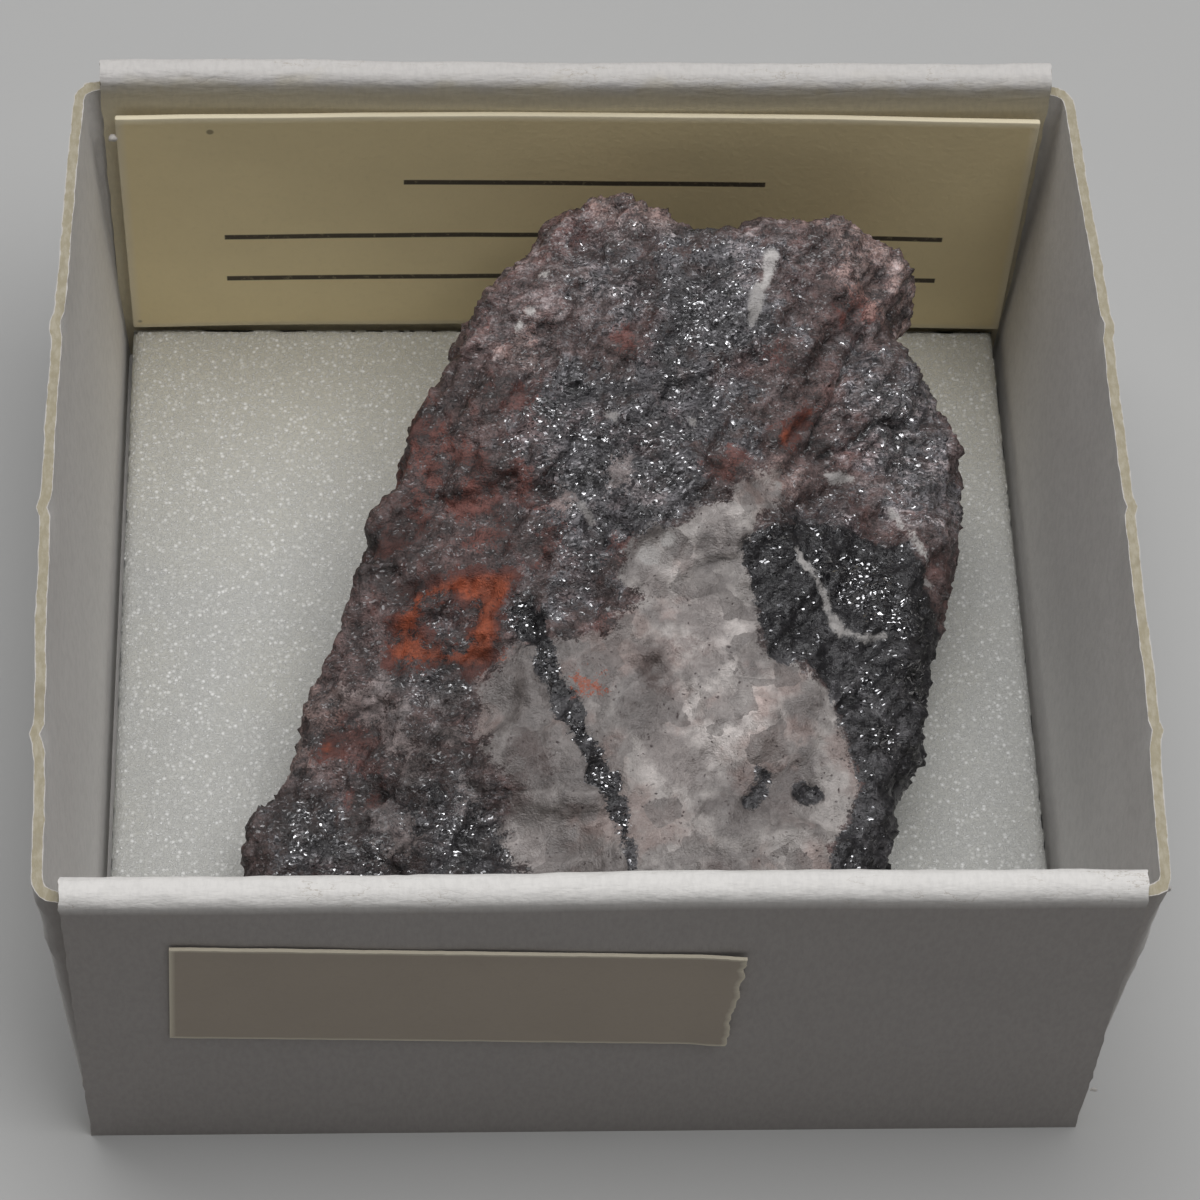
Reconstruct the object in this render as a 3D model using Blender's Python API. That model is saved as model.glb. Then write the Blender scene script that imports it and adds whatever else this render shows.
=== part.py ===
"""Hematite specimen resting on a foam pad in a folded card box.

Units are metres, +Z is up, the origin is at the bottom centre of the whole object,
and the front of the box, with the number label, faces -Y.
"""

import math

import bmesh
import bpy
from mathutils import Vector, noise

MM = 0.001

# Card box, a 4 x 4 x 2 cm tray folded from one sheet
CARD = 0.45 * MM
PANEL_WIDTH = 41.0 * MM
BOX_DEPTH = 41.3 * MM
FOLD_TOP = 20.1 * MM
SIDE_TOP = 18.9 * MM
FOLD_THICKNESS = 3 * CARD
FOLD_ROUNDING = 0.45
SIDE_BASE_X = 20.7 * MM
SIDE_LEAN = 0.85 * MM
SIDE_BOW = 0.5 * MM
CORNER_RADIUS = 0.9 * MM
FLAP_REACH = 2.0 * MM
SIDE_STEPS = 16
CORNER_STEPS = 4
WALL_LEVELS = 5

# Loose and glued pieces
GAP = 0.3 * MM
PAD_TOP = 3.0 * MM
PAD_EDGE = 0.4 * MM
NAME_CARD_WIDTH = 40.1 * MM
NAME_CARD_CENTRE_X = 0.12 * MM
NAME_CARD_HEIGHT = 14.8 * MM
NAME_CARD_THICKNESS = 0.3 * MM
LABEL_WIDTH = 22.2 * MM
LABEL_HEIGHT = 7.3 * MM
LABEL_THICKNESS = 0.25 * MM
LABEL_GAP = 0.2 * MM
LABEL_CENTRE_X = -5.65 * MM
LABEL_CENTRE_Z = 12.3 * MM
LABEL_TILT = math.radians(2.4)
BOX_SHIFT_Y = (LABEL_GAP + LABEL_THICKNESS) / 2

# Stone: its widest outline in millimetres, anticlockwise from the right side,
# each point with the height at which the stone is widest there
STONE_BOTTOM = PAD_TOP + GAP
STONE_CENTRE = (-1.0, 0.4)
RIGHT_SIDE = [(16.2, 1.4, 7.4), (16.9, 3.4, 7.8), (17.2, 7.0, 8.6), (16.9, 9.1, 9.0), (15.9, 10.4, 9.2)]
RIGHT_NOTCH = [(14.5, 12.1, 9.4), (14.3, 12.8, 9.6), (15.2, 14.0, 11.2), (15.7, 14.7, 13.0)]
BACK_EDGE = [
    (13.9, 15.8, 14.8), (11.9, 16.0, 15.6), (10.0, 15.7, 16.0), (7.5, 15.4, 16.0), (5.3, 15.2, 15.8),
    (4.0, 15.7, 16.0), (2.9, 16.6, 16.2), (0.8, 16.8, 15.8), (-0.9, 16.1, 15.2),
]
LEFT_SIDE = [
    (-2.3, 14.8, 14.4), (-3.2, 13.6, 13.4), (-5.0, 11.8, 12.2), (-5.7, 10.3, 11.4), (-6.7, 8.8, 10.8),
    (-7.5, 7.2, 10.2), (-8.0, 6.3, 10.0), (-7.7, 5.3, 9.8), (-9.3, 3.3, 9.0), (-9.7, 1.7, 8.6),
    (-9.6, 0.1, 8.2), (-10.3, -0.3, 7.8), (-10.3, -2.0, 7.6), (-12.1, -5.5, 7.2), (-12.7, -8.0, 6.8),
]
TOE = [(-13.9, -9.0, 6.2), (-14.8, -10.5, 5.4), (-14.3, -12.4, 5.6), (-12.6, -14.6, 6.2)]
FRONT_EDGE = [
    (-9.5, -16.6, 6.6), (-4.0, -17.9, 6.4), (1.5, -17.4, 6.8), (6.5, -17.8, 6.6), (10.8, -16.2, 6.4),
]
RIGHT_FOOT = [
    (12.9, -13.4, 6.6), (13.2, -10.9, 6.6), (13.1, -9.0, 6.8), (14.5, -6.5, 7.0), (15.1, -3.5, 7.2),
    (15.6, -1.3, 7.2), (15.7, 0.4, 7.2),
]
STONE_OUTLINE = RIGHT_SIDE + RIGHT_NOTCH + BACK_EDGE + LEFT_SIDE + TOE + FRONT_EDGE + RIGHT_FOOT

# Stone: the upper face, in millimetres
FACE_HEIGHT = 12.6
FACE_RISE = 0.26
FACE_FRONT_EASE = 0.8
FACE_CROWN_X = 3.5
FACE_CROWN_DROP = 0.0105
LOBE_CRACK = ((14.5, 18.0), (12.2, 13.4), (10.3, 9.0), (8.6, 5.2), (7.4, -20.0))
LOBE_STEP = 1.0
LOBE_STEP_WIDTH = 0.5
LOBE_SLOPE = 1.6
LOBE_REACH = 7.0
LOBE_FADE = (-3.0, 8.0)
VEIN_LINE = ((-0.9, -1.3), (0.6, -4.6), (2.2, -8.6), (2.4, -13.0))
VEIN_DEPTH = 0.35
VEIN_WIDTH = 0.8
GRAIN_ANGLE = math.radians(48)
STONE_SEGMENTS = 44
SHOULDER_LEVEL = 0.34
WIDEST_LEVEL = 0.41
WAIST_LEVEL = 0.58
FOOT_LEVEL = 0.68
FACE_REACH = 0.90
STONE_SEED = Vector((3.7, 11.2, 5.4))
CELL_SPREAD = 9.7
WAIST_DRAW = 0.08
FOOT_DRAW = 0.18
FOOT_RISE = 1.3
FOOT_WAVE = 7.0
RIM_COVER = 0.3
RIM_LIFT_POWER = 6
OUTLINE_INSET = 0.25
SIDE_RELIEF = 0.45
LARGE_BREAKS = 0.75
LARGE_BREAK_SIZE = 6.5
SMALL_BREAKS = 0.3
SMALL_BREAK_SIZE = 2.8
LEDGES = 0.45
LEDGE_LENGTH = 5.0
LEDGE_WIDTH = 1.6
LEDGE_HEIGHT = 2.0
LEDGE_LEVELS = 3.0
LEDGE_RISE = (0.3, 0.7)
SKIN_GRID = 0.36 * MM
STONE_KEPT_FACES = 0.16
EASING_PASSES = 3


def make_material(name, colour, roughness, metallic=0.0):
    """A plain Principled material; the colour is linear RGB."""
    material = bpy.data.materials.new(name)
    material.use_nodes = True
    shader = material.node_tree.nodes["Principled BSDF"]
    shader.inputs["Base Color"].default_value = (*colour, 1.0)
    shader.inputs["Roughness"].default_value = roughness
    shader.inputs["Metallic"].default_value = metallic
    material.diffuse_color = (*colour, 1.0)
    return material


def add_object(name, bm, material, parent):
    """Turn a bmesh into a named object with one material, under the parent empty."""
    mesh = bpy.data.meshes.new(name)
    bm.to_mesh(mesh)
    bm.free()
    mesh.materials.append(material)
    piece = bpy.data.objects.new(name, mesh)
    bpy.context.scene.collection.objects.link(piece)
    piece.parent = parent
    return piece


def block(bm, size, centre):
    """Add a box of the given size to bm and return its vertices."""
    verts = bmesh.ops.create_cube(bm, size=1.0)["verts"]
    bmesh.ops.scale(bm, vec=size, verts=verts)
    bmesh.ops.translate(bm, vec=centre, verts=verts)
    return verts


def smoothstep(edge0, edge1, value):
    """0 below edge0, 1 above edge1, and a smooth rise between them."""
    t = min(max((value - edge0) / (edge1 - edge0), 0.0), 1.0)
    return t * t * (3.0 - 2.0 * t)


def folded_wall(name, y_centre, material, parent):
    """A front or back wall: the sheet folded over itself, with a rounded fold on top."""
    bm = bmesh.new()
    size = (PANEL_WIDTH, FOLD_THICKNESS, FOLD_TOP)
    block(bm, size, (0.0, y_centre, FOLD_TOP / 2))
    top_edges = [
        edge for edge in bm.edges
        if all(abs(vert.co.z - FOLD_TOP) < CARD / 10 for vert in edge.verts)
        and abs(edge.verts[0].co.y - edge.verts[1].co.y) < CARD / 10
    ]
    bmesh.ops.bevel(
        bm, geom=top_edges, offset=FOLD_THICKNESS * FOLD_ROUNDING, offset_type="OFFSET",
        segments=4, profile=0.5, affect="EDGES",
    )
    return add_object(name, bm, material, parent)


def side_path():
    """The plan line of a side wall on the +X side: flap, corner, side, corner, flap."""
    flap_y = BOX_DEPTH / 2 - FOLD_THICKNESS / 2
    side_x = SIDE_BASE_X - CARD / 2
    points = [(side_x - CORNER_RADIUS - FLAP_REACH, -flap_y)]
    for step in range(CORNER_STEPS + 1):
        angle = -math.pi / 2 + math.pi / 2 * step / CORNER_STEPS
        points.append((
            side_x - CORNER_RADIUS + CORNER_RADIUS * math.cos(angle),
            -flap_y + CORNER_RADIUS + CORNER_RADIUS * math.sin(angle),
        ))
    straight_end = flap_y - CORNER_RADIUS
    for step in range(1, SIDE_STEPS // 2 + 1):
        points.append((side_x, -straight_end + 2 * straight_end * step / SIDE_STEPS))
    mirrored = [(x, -y) for x, y in reversed(points[:-1])]
    return points + mirrored


def side_wall(name, side, material, parent):
    """One single-layer side wall with its corner flaps; side is -1 for left, +1 for right."""
    path = [Vector((x, y, 0.0)) for x, y in side_path()]
    half_depth = BOX_DEPTH / 2
    bm = bmesh.new()
    rows = []
    for index, point in enumerate(path):
        before = path[max(index - 1, 0)]
        after = path[min(index + 1, len(path) - 1)]
        along = (after - before).normalized()
        outward = Vector((along.y, -along.x, 0.0))
        reach = max(0.0, point.x - (SIDE_BASE_X - CARD / 2 - CORNER_RADIUS)) / CORNER_RADIUS
        ring = []
        for level in range(WALL_LEVELS + 1):
            height = SIDE_TOP * level / WALL_LEVELS
            up = height / SIDE_TOP
            shift = SIDE_LEAN * up + SIDE_BOW * up * (1.0 - (point.y / half_depth) ** 2)
            centre = point + Vector((min(reach, 1.0) * shift, 0.0, height))
            ring.append((centre + outward * CARD / 2, centre - outward * CARD / 2))
        outer = [bm.verts.new(pair[0]) for pair in ring]
        inner = [bm.verts.new(pair[1]) for pair in reversed(ring)]
        rows.append(outer + inner)
    loop_size = len(rows[0])
    for first, second in zip(rows, rows[1:]):
        for corner in range(loop_size):
            after = (corner + 1) % loop_size
            bm.faces.new((first[corner], second[corner], second[after], first[after]))
    for level in range(WALL_LEVELS):
        inner_low = loop_size - 1 - level
        for row in (rows[0], rows[-1]):
            bm.faces.new((row[level], row[level + 1], row[inner_low - 1], row[inner_low]))
    if side < 0:
        bmesh.ops.scale(bm, vec=(-1.0, 1.0, 1.0), verts=bm.verts)
    bmesh.ops.recalc_face_normals(bm, faces=bm.faces)
    return add_object(name, bm, material, parent)


def join_by_union(target, others):
    """Union the other objects into target with live modifiers, and hide them as guides."""
    for other in others:
        modifier = target.modifiers.new(f"join {other.name}", "BOOLEAN")
        modifier.operation = "UNION"
        modifier.solver = "EXACT"
        modifier.object = other
        other.hide_render = True
        other.display_type = "WIRE"


def make_card_box(material, parent):
    """The tray: a base sheet, two folded walls and two single side walls in one sheet."""
    bm = bmesh.new()
    block(bm, (2 * SIDE_BASE_X - CARD, BOX_DEPTH - CARD, CARD), (0.0, 0.0, CARD / 2))
    box = add_object("card_box", bm, material, parent)
    wall_y = (BOX_DEPTH - FOLD_THICKNESS) / 2
    walls = [
        folded_wall("guide_front_wall", -wall_y, material, parent),
        folded_wall("guide_back_wall", wall_y, material, parent),
        side_wall("guide_left_wall", -1, material, parent),
        side_wall("guide_right_wall", 1, material, parent),
    ]
    join_by_union(box, walls)
    return box


def add_bevel(piece, width):
    """Round the edges of a plain sheet or pad."""
    modifier = piece.modifiers.new("soft edges", "BEVEL")
    modifier.width = width
    modifier.segments = 2


def make_foam_pad(material, parent):
    """The foam sheet that fills the bottom of the tray."""
    width = 2 * (SIDE_BASE_X - CARD - GAP)
    depth = BOX_DEPTH - 2 * FOLD_THICKNESS - 2 * GAP
    low = CARD + GAP
    bm = bmesh.new()
    block(bm, (width, depth, PAD_TOP - low), (0.0, 0.0, (PAD_TOP + low) / 2))
    pad = add_object("foam_pad", bm, material, parent)
    add_bevel(pad, PAD_EDGE)
    return pad


def make_name_card(material, parent):
    """The card that stands on the pad behind the stone."""
    y = BOX_DEPTH / 2 - FOLD_THICKNESS - GAP - NAME_CARD_THICKNESS / 2
    z = PAD_TOP + GAP + NAME_CARD_HEIGHT / 2
    bm = bmesh.new()
    block(bm, (NAME_CARD_WIDTH, NAME_CARD_THICKNESS, NAME_CARD_HEIGHT), (NAME_CARD_CENTRE_X, y, z))
    return add_object("name_card", bm, material, parent)


def make_number_label(material, parent):
    """The label on the outside of the front wall, stuck on a little askew."""
    bm = bmesh.new()
    block(bm, (LABEL_WIDTH, LABEL_THICKNESS, LABEL_HEIGHT), (0.0, 0.0, 0.0))
    label = add_object("number_label", bm, material, parent)
    y = -BOX_DEPTH / 2 - LABEL_GAP - LABEL_THICKNESS / 2
    label.location = (LABEL_CENTRE_X, y, LABEL_CENTRE_Z)
    label.rotation_euler = (0.0, LABEL_TILT, 0.0)
    return label


def outline_lengths():
    """Running length along the closed stone outline, in plan, up to each of its points."""
    lengths = [0.0]
    for start, end in zip(STONE_OUTLINE, STONE_OUTLINE[1:] + STONE_OUTLINE[:1]):
        lengths.append(lengths[-1] + math.dist(start[:2], end[:2]))
    return lengths


def outline_point(fraction, lengths):
    """The point of the stone outline at a fraction of its whole length."""
    distance = (fraction % 1.0) * lengths[-1]
    index = 0
    while lengths[index + 1] < distance:
        index += 1
    start = Vector(STONE_OUTLINE[index])
    end = Vector(STONE_OUTLINE[(index + 1) % len(STONE_OUTLINE)])
    share = (distance - lengths[index]) / (lengths[index + 1] - lengths[index])
    return start.lerp(end, share)


def line_offset(x, y, line):
    """Nearest distance to a line of plan points, positive on the left when looking along it."""
    best = None
    point = Vector((x, y))
    for start, end in zip(line, line[1:]):
        a = Vector(start)
        along = Vector(end) - a
        share = min(max((point - a).dot(along) / along.length_squared, 0.0), 1.0)
        away = point - (a + along * share)
        side = math.copysign(1.0, along.x * away.y - along.y * away.x)
        if best is None or away.length < abs(best):
            best = side * away.length
    return best


def face_height(x, y):
    """Height of the upper face over a plan point: a slope, a crown and the main steps."""
    height = FACE_HEIGHT + FACE_RISE * y * (FACE_FRONT_EASE if y < 0 else 1.0)
    height -= FACE_CROWN_DROP * (x - FACE_CROWN_X) ** 2
    beside_crack = line_offset(x, y, LOBE_CRACK)
    if beside_crack > 0.0:
        step = LOBE_STEP * smoothstep(0.0, LOBE_STEP_WIDTH, beside_crack)
        slope = LOBE_SLOPE * smoothstep(LOBE_STEP_WIDTH, LOBE_REACH, beside_crack)
        height -= (step + slope) * smoothstep(*LOBE_FADE, y)
    vein = abs(line_offset(x, y, VEIN_LINE))
    height -= VEIN_DEPTH * (1.0 - smoothstep(0.0, VEIN_WIDTH, vein))
    return height


def profile(level):
    """Share of the outline reached at a polar level 0 to 1, the zone and the place in it."""
    if level < SHOULDER_LEVEL:
        return FACE_REACH * level / SHOULDER_LEVEL, "face", 0.0
    if level < WIDEST_LEVEL:
        t = (level - SHOULDER_LEVEL) / (WIDEST_LEVEL - SHOULDER_LEVEL)
        return FACE_REACH + (1.0 - FACE_REACH) * math.sin(t * math.pi / 2), "shoulder", t
    if level < WAIST_LEVEL:
        t = (level - WIDEST_LEVEL) / (WAIST_LEVEL - WIDEST_LEVEL)
        return 1.0 - WAIST_DRAW * t * t, "side", t
    foot_reach = 1.0 - WAIST_DRAW - FOOT_DRAW
    if level < FOOT_LEVEL:
        t = (level - WAIST_LEVEL) / (FOOT_LEVEL - WAIST_LEVEL)
        return foot_reach + FOOT_DRAW * (1.0 - t), "foot", t
    return foot_reach * (1.0 - level) / (1.0 - FOOT_LEVEL), "underside", 0.0


def stone_point(direction, lengths):
    """Map a direction on the unit sphere to a point of the undressed stone, in mm."""
    turn = math.atan2(direction.y, direction.x) / (2 * math.pi)
    level = math.acos(max(-1.0, min(1.0, direction.z))) / math.pi
    rim = outline_point(turn, lengths)
    reach, zone, t = profile(level)
    x = STONE_CENTRE[0] + (rim.x - STONE_CENTRE[0]) * reach
    y = STONE_CENTRE[1] + (rim.y - STONE_CENTRE[1]) * reach
    bottom = STONE_BOTTOM / MM
    wave = noise.noise(Vector((rim.x, rim.y, 0.0)) / FOOT_WAVE + STONE_SEED)
    foot_height = bottom + FOOT_RISE * (1.0 + wave)
    top = face_height(x, y)
    top += max(0.0, rim.z + RIM_COVER - top) * reach ** RIM_LIFT_POWER
    if zone == "face":
        return Vector((x, y, top))
    if zone == "shoulder":
        return Vector((x, y, top + (rim.z - top) * (1.0 - math.cos(t * math.pi / 2))))
    if zone == "side":
        return Vector((x, y, rim.z + (foot_height - rim.z) * t))
    if zone == "foot":
        return Vector((x, y, foot_height + (bottom - foot_height) * t))
    return Vector((x, y, bottom))


def facets(point, size):
    """Flat, tilted break faces of about the given size, as a height of -1 to 1."""
    place = point / size + STONE_SEED
    centre = noise.voronoi(place)[1][0]
    tilt = noise.cell_vector(centre * CELL_SPREAD) * 2.0 - Vector((1.0, 1.0, 1.0))
    return (place - centre).dot(tilt)


def broken_relief(point):
    """How far the broken surface stands in or out at a point, in mm."""
    along = Vector((math.cos(GRAIN_ANGLE), math.sin(GRAIN_ANGLE), 0.0))
    across = Vector((-along.y, along.x, 0.0))
    grain = Vector((point.dot(along) / LEDGE_LENGTH, point.dot(across) / LEDGE_WIDTH, point.z / LEDGE_HEIGHT))
    ledges = noise.fractal(grain + STONE_SEED, 0.7, 2.0, 3) * LEDGE_LEVELS
    level = math.floor(ledges)
    terrace = (level + smoothstep(*LEDGE_RISE, ledges - level)) / LEDGE_LEVELS
    fine = SMALL_BREAKS * facets(point, SMALL_BREAK_SIZE)
    return LARGE_BREAKS * facets(point, LARGE_BREAK_SIZE) + fine + LEDGES * terrace


def make_stone(material, parent):
    """The stone: a cube-sphere pulled onto its outline and face, then broken up."""
    bm = bmesh.new()
    bmesh.ops.create_cube(bm, size=2.0)
    bmesh.ops.subdivide_edges(bm, edges=bm.edges, cuts=STONE_SEGMENTS - 1, use_grid_fill=True)
    lengths = outline_lengths()
    for vert in bm.verts:
        even = Vector(math.tan(value * math.pi / 4) for value in vert.co)
        vert.co = stone_point(even.normalized(), lengths)
    for easing in range(EASING_PASSES):
        bmesh.ops.smooth_vert(
            bm, verts=bm.verts, factor=0.5, use_axis_x=True, use_axis_y=True, use_axis_z=True,
        )
    bmesh.ops.recalc_face_normals(bm, faces=bm.faces)
    bm.normal_update()
    moves = {}
    bottom = STONE_BOTTOM / MM
    for vert in bm.verts:
        upward = abs(vert.normal.z)
        share = SIDE_RELIEF + (1.0 - SIDE_RELIEF) * upward
        moves[vert] = vert.normal * (broken_relief(vert.co) * share - OUTLINE_INSET)
    for vert, move in moves.items():
        vert.co += move
        vert.co.z = max(vert.co.z, bottom)
    bmesh.ops.scale(bm, vec=(MM, MM, MM), verts=bm.verts)
    stone = add_object("hematite_stone", bm, material, parent)
    remesh = stone.modifiers.new("even skin", "REMESH")
    remesh.mode = "VOXEL"
    remesh.voxel_size = SKIN_GRID
    flatten = stone.modifiers.new("flat break faces", "DECIMATE")
    flatten.ratio = STONE_KEPT_FACES
    return stone


def main():
    """Clear the scene and build the five pieces under one empty."""
    for old in list(bpy.data.objects):
        bpy.data.objects.remove(old, do_unlink=True)
    specimen = bpy.data.objects.new("specimen", None)
    specimen.location = (0.0, BOX_SHIFT_Y, 0.0)
    bpy.context.scene.collection.objects.link(specimen)
    card = make_material("white_card", (0.60, 0.58, 0.55), 0.8)
    foam = make_material("white_foam", (0.72, 0.72, 0.68), 0.7)
    cream = make_material("cream_card", (0.58, 0.52, 0.33), 0.7)
    ore = make_material("hematite_ore", (0.10, 0.08, 0.08), 0.45, 0.3)
    make_card_box(card, specimen)
    make_foam_pad(foam, specimen)
    make_name_card(cream, specimen)
    make_number_label(cream, specimen)
    make_stone(ore, specimen)
    bpy.context.view_layer.update()


main()
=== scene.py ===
"""The looks of a hematite specimen in its folded card tray, built around the packed frame.

Sizes in the settings are in metres. Plan outlines and points on the stone are in millimetres,
seen from above, with +X to the right and -Y towards the front wall.
"""

import math
from types import SimpleNamespace

import bmesh
import bpy
import numpy as np
from mathutils import Euler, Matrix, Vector, noise


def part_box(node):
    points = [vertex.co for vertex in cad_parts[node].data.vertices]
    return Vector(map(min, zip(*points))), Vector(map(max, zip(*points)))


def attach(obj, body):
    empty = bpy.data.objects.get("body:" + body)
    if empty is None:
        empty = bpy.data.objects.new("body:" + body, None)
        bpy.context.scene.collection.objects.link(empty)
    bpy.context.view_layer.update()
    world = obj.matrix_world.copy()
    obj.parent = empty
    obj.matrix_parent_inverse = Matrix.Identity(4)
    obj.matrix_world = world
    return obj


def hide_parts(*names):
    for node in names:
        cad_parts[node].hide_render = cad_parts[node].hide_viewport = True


bl_info = {
    "name": "Boxed hematite specimen",
    "version": (1, 0, 0),
    "blender": (4, 5, 0),
    "location": "View3D > Sidebar > Specimen",
    "description": "Builds a hematite lump on foam in a small folded card tray",
    "category": "Object",
}

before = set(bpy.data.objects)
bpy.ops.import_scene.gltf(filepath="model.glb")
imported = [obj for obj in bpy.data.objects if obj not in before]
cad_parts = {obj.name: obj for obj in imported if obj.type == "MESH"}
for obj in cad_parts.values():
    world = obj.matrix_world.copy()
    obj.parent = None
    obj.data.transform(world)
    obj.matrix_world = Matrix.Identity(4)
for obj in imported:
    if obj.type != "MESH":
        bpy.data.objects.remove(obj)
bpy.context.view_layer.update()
MM = 0.001
BODY = "root"

# The stone's colour zones: plan outlines, lines and round spots (x, y, radius), in millimetres
QUARTZ_OUTLINE = (
    (2.3, 0.7), (3.4, 1.4), (4.9, 2.1), (6.4, 2.6), (7.3, 4.0), (8.0, 3.9), (8.0, 2.7), (7.5, 1.2),
    (7.0, 0.0), (7.4, -1.6), (7.6, -4.1), (8.9, -4.4), (10.2, -5.2), (10.7, -7.2), (11.3, -9.4),
    (11.0, -10.9), (10.0, -12.4), (9.8, -18.5), (-2.4, -18.5), (-3.0, -12.6), (-3.5, -10.6),
    (-2.8, -9.8), (-4.0, -8.6), (-4.4, -6.1), (-3.8, -4.4), (-2.3, -3.3), (0.6, -3.4), (2.3, -1.8),
    (1.6, -0.6),
)
BLACK_OUTLINE = (
    (6.6, 0.0), (7.1, 1.2), (9.2, 2.3), (11.4, 2.1), (13.6, 1.7), (15.0, 0.5), (16.5, -2.0),
    (15.5, -7.0), (14.5, -11.0), (14.0, -15.0), (9.8, -18.5), (9.9, -12.4), (11.0, -10.8), (11.3, -9.4),
    (10.7, -7.2), (10.2, -5.2), (8.9, -4.4), (7.6, -4.1), (7.1, -1.6),
)
OCHRE_OUTLINE = (
    (-8.3, -2.9), (-7.9, -1.6), (-7.3, -0.8), (-6.0, -0.5), (-4.4, -0.2), (-3.0, -0.5), (-2.9, -1.2),
    (-3.6, -2.2), (-3.5, -3.2), (-4.0, -4.0), (-4.9, -4.3), (-6.1, -4.0), (-7.3, -4.1), (-8.2, -3.7),
)
OCHRE_HOLE = (
    (-6.6, -1.7), (-5.7, -1.2), (-4.9, -1.5), (-4.7, -2.3), (-5.3, -3.1), (-6.3, -3.0), (-6.9, -2.3),
)
VEIN_LINE = ((-2.6, -1.9), (-1.9, -3.4), (-1.2, -5.6), (-0.3, -7.8), (0.6, -9.6), (1.3, -11.2), (1.6, -12.6))
VEIN_TAIL = ((1.6, -12.6), (1.9, -14.2), (1.9, -18.5))
DARK_INCLUSIONS = (
    (7.1, -9.2, 0.35), (6.6, -10.3, 0.4), (6.9, -9.8, 0.3), (9.0, -9.8, 0.5), (2.6, -14.2, 0.5),
    (3.8, -14.3, 0.4), (-2.3, -2.6, 0.55),
)
ORANGE_LINE = ((8.5, 5.5), (9.3, 6.4), (10.0, 7.2))
ORANGE_SPOTS = ((-0.2, -5.2, 0.42), (0.3, -5.3, 0.3), (-10.9, -6.9, 0.35), (8.7, 5.6, 0.4))
RED_LINES = (
    ((-7.1, 6.8), (-4.5, 4.6), (-4.1, 3.6)), ((-3.7, 7.7), (-3.2, 6.9)),
    ((-4.7, 4.9), (-3.8, 3.5), (-4.1, 2.8), (-3.4, 2.0)), ((-6.8, 7.4), (-7.0, 5.9), (-6.8, 4.5), (-6.9, 2.7)),
    ((-3.2, 4.0), (-2.4, 3.3), (-1.3, 2.7)), ((-1.8, 0.3), (-1.3, 1.3)), ((1.3, -0.3), (2.2, 0.4)),
    ((-9.2, -7.8), (-7.9, -8.0)),
)
BAND_OUTLINE = (
    (-4.7, 11.5), (-2.0, 10.8), (-0.9, 8.3), (-2.2, 3.9), (-2.7, 0.1), (-2.3, -2.0), (-3.6, -3.7),
    (-8.7, -4.0), (-9.9, -1.9), (-9.5, 0.6), (-9.0, 3.5), (-8.2, 6.4),
)
RUST_SPOTS = (
    (6.1, 4.1, 0.75), (8.6, 9.2, 0.4), (12.3, 12.3, 0.5), (11.9, 11.8, 0.35), (-4.8, 3.4, 0.6),
    (-6.4, 4.6, 0.5), (-4.1, 1.4, 0.6), (1.9, 0.3, 0.5), (-8.1, 1.5, 0.6), (-3.2, -4.4, 0.5),
    (-2.6, 7.3, 0.5), (2.0, 9.5, 0.4), (7.9, -11.0, 0.3), (-9.6, -6.6, 0.9), (-9.0, -9.0, 0.5),
    (0.9, -2.6, 0.3), (7.2, -8.6, 0.25),
)
PINK_SPOTS = (
    (1.5, 16.8, 1.4), (3.2, 16.5, 1.3), (12.0, 15.7, 1.5), (13.6, 15.0, 1.1), (8.2, 3.2, 0.7),
    (-10.9, -5.2, 0.7), (-8.0, -11.6, 0.5), (-11.8, -6.6, 0.6), (-3.3, -4.4, 0.6), (12.4, 13.4, 0.9),
    (-2.4, 9.6, 0.5),
)
PALE_SPOTS = (
    (-8.8, -5.2, 0.75), (-8.0, -5.7, 0.6), (-7.6, -7.3, 0.6), (-7.2, -8.2, 0.55), (-8.5, -10.3, 0.6),
    (-8.0, -11.2, 0.5), (-6.0, -5.5, 0.5), (-5.6, -6.9, 0.5), (-4.7, -9.6, 0.35), (-3.7, -3.9, 0.8),
    (-2.6, -3.7, 0.5), (1.4, 3.6, 0.45), (-1.0, 2.9, 0.2), (-4.2, -2.9, 0.3),
)
WHITE_LINES = (
    (0.24, ((8.3, 13.4), (8.1, 12.5), (7.6, 11.5), (7.4, 10.6))),
    (0.12, ((9.0, 0.6), (10.0, -0.8), (10.4, -2.0))), (0.26, ((10.4, -2.0), (10.8, -2.7))),
    (0.17, ((10.8, -2.7), (11.6, -2.9), (12.6, -2.7))), (0.09, ((13.4, 3.4), (14.2, 2.0), (15.1, 0.7))),
    (0.22, ((10.6, 4.6), (11.6, 4.9))), (0.14, ((0.0, 2.4), (0.3, 1.9))),
)
WHITE_SPOTS = (
    (-1.5, 12.5, 0.2), (-1.1, 12.0, 0.12), (-2.1, 10.9, 0.2), (-2.6, 10.4, 0.15), (1.4, 6.2, 0.2),
    (1.1, 6.5, 0.1), (2.7, 0.1, 0.42), (3.5, 0.8, 0.25), (0.2, 2.2, 0.16), (4.6, 5.9, 0.12),
)
METAL_SPOTS = (
    (1.5, 3.5, 4.0), (-0.4, 6.0, 3.0), (5.8, 11.4, 3.0), (10.6, -0.8, 3.6), (13.4, -3.8, 3.0),
    (4.2, 7.0, 3.0), (-5.0, -11.6, 2.2), (13.8, 6.4, 2.4), (1.8, 12.4, 1.8), (-3.0, -1.8, 1.0),
    (-6.6, -4.9, 1.0), (13.6, 8.4, 2.2), (14.8, 5.4, 1.8), (-9.5, -12.8, 2.4), (-11.6, -10.8, 1.4),
    (-7.4, -10.6, 1.2), (-5.8, -1.9, 0.8), (-9.0, -8.0, 0.6), (0.0, -1.2, 1.6),
)
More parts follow.
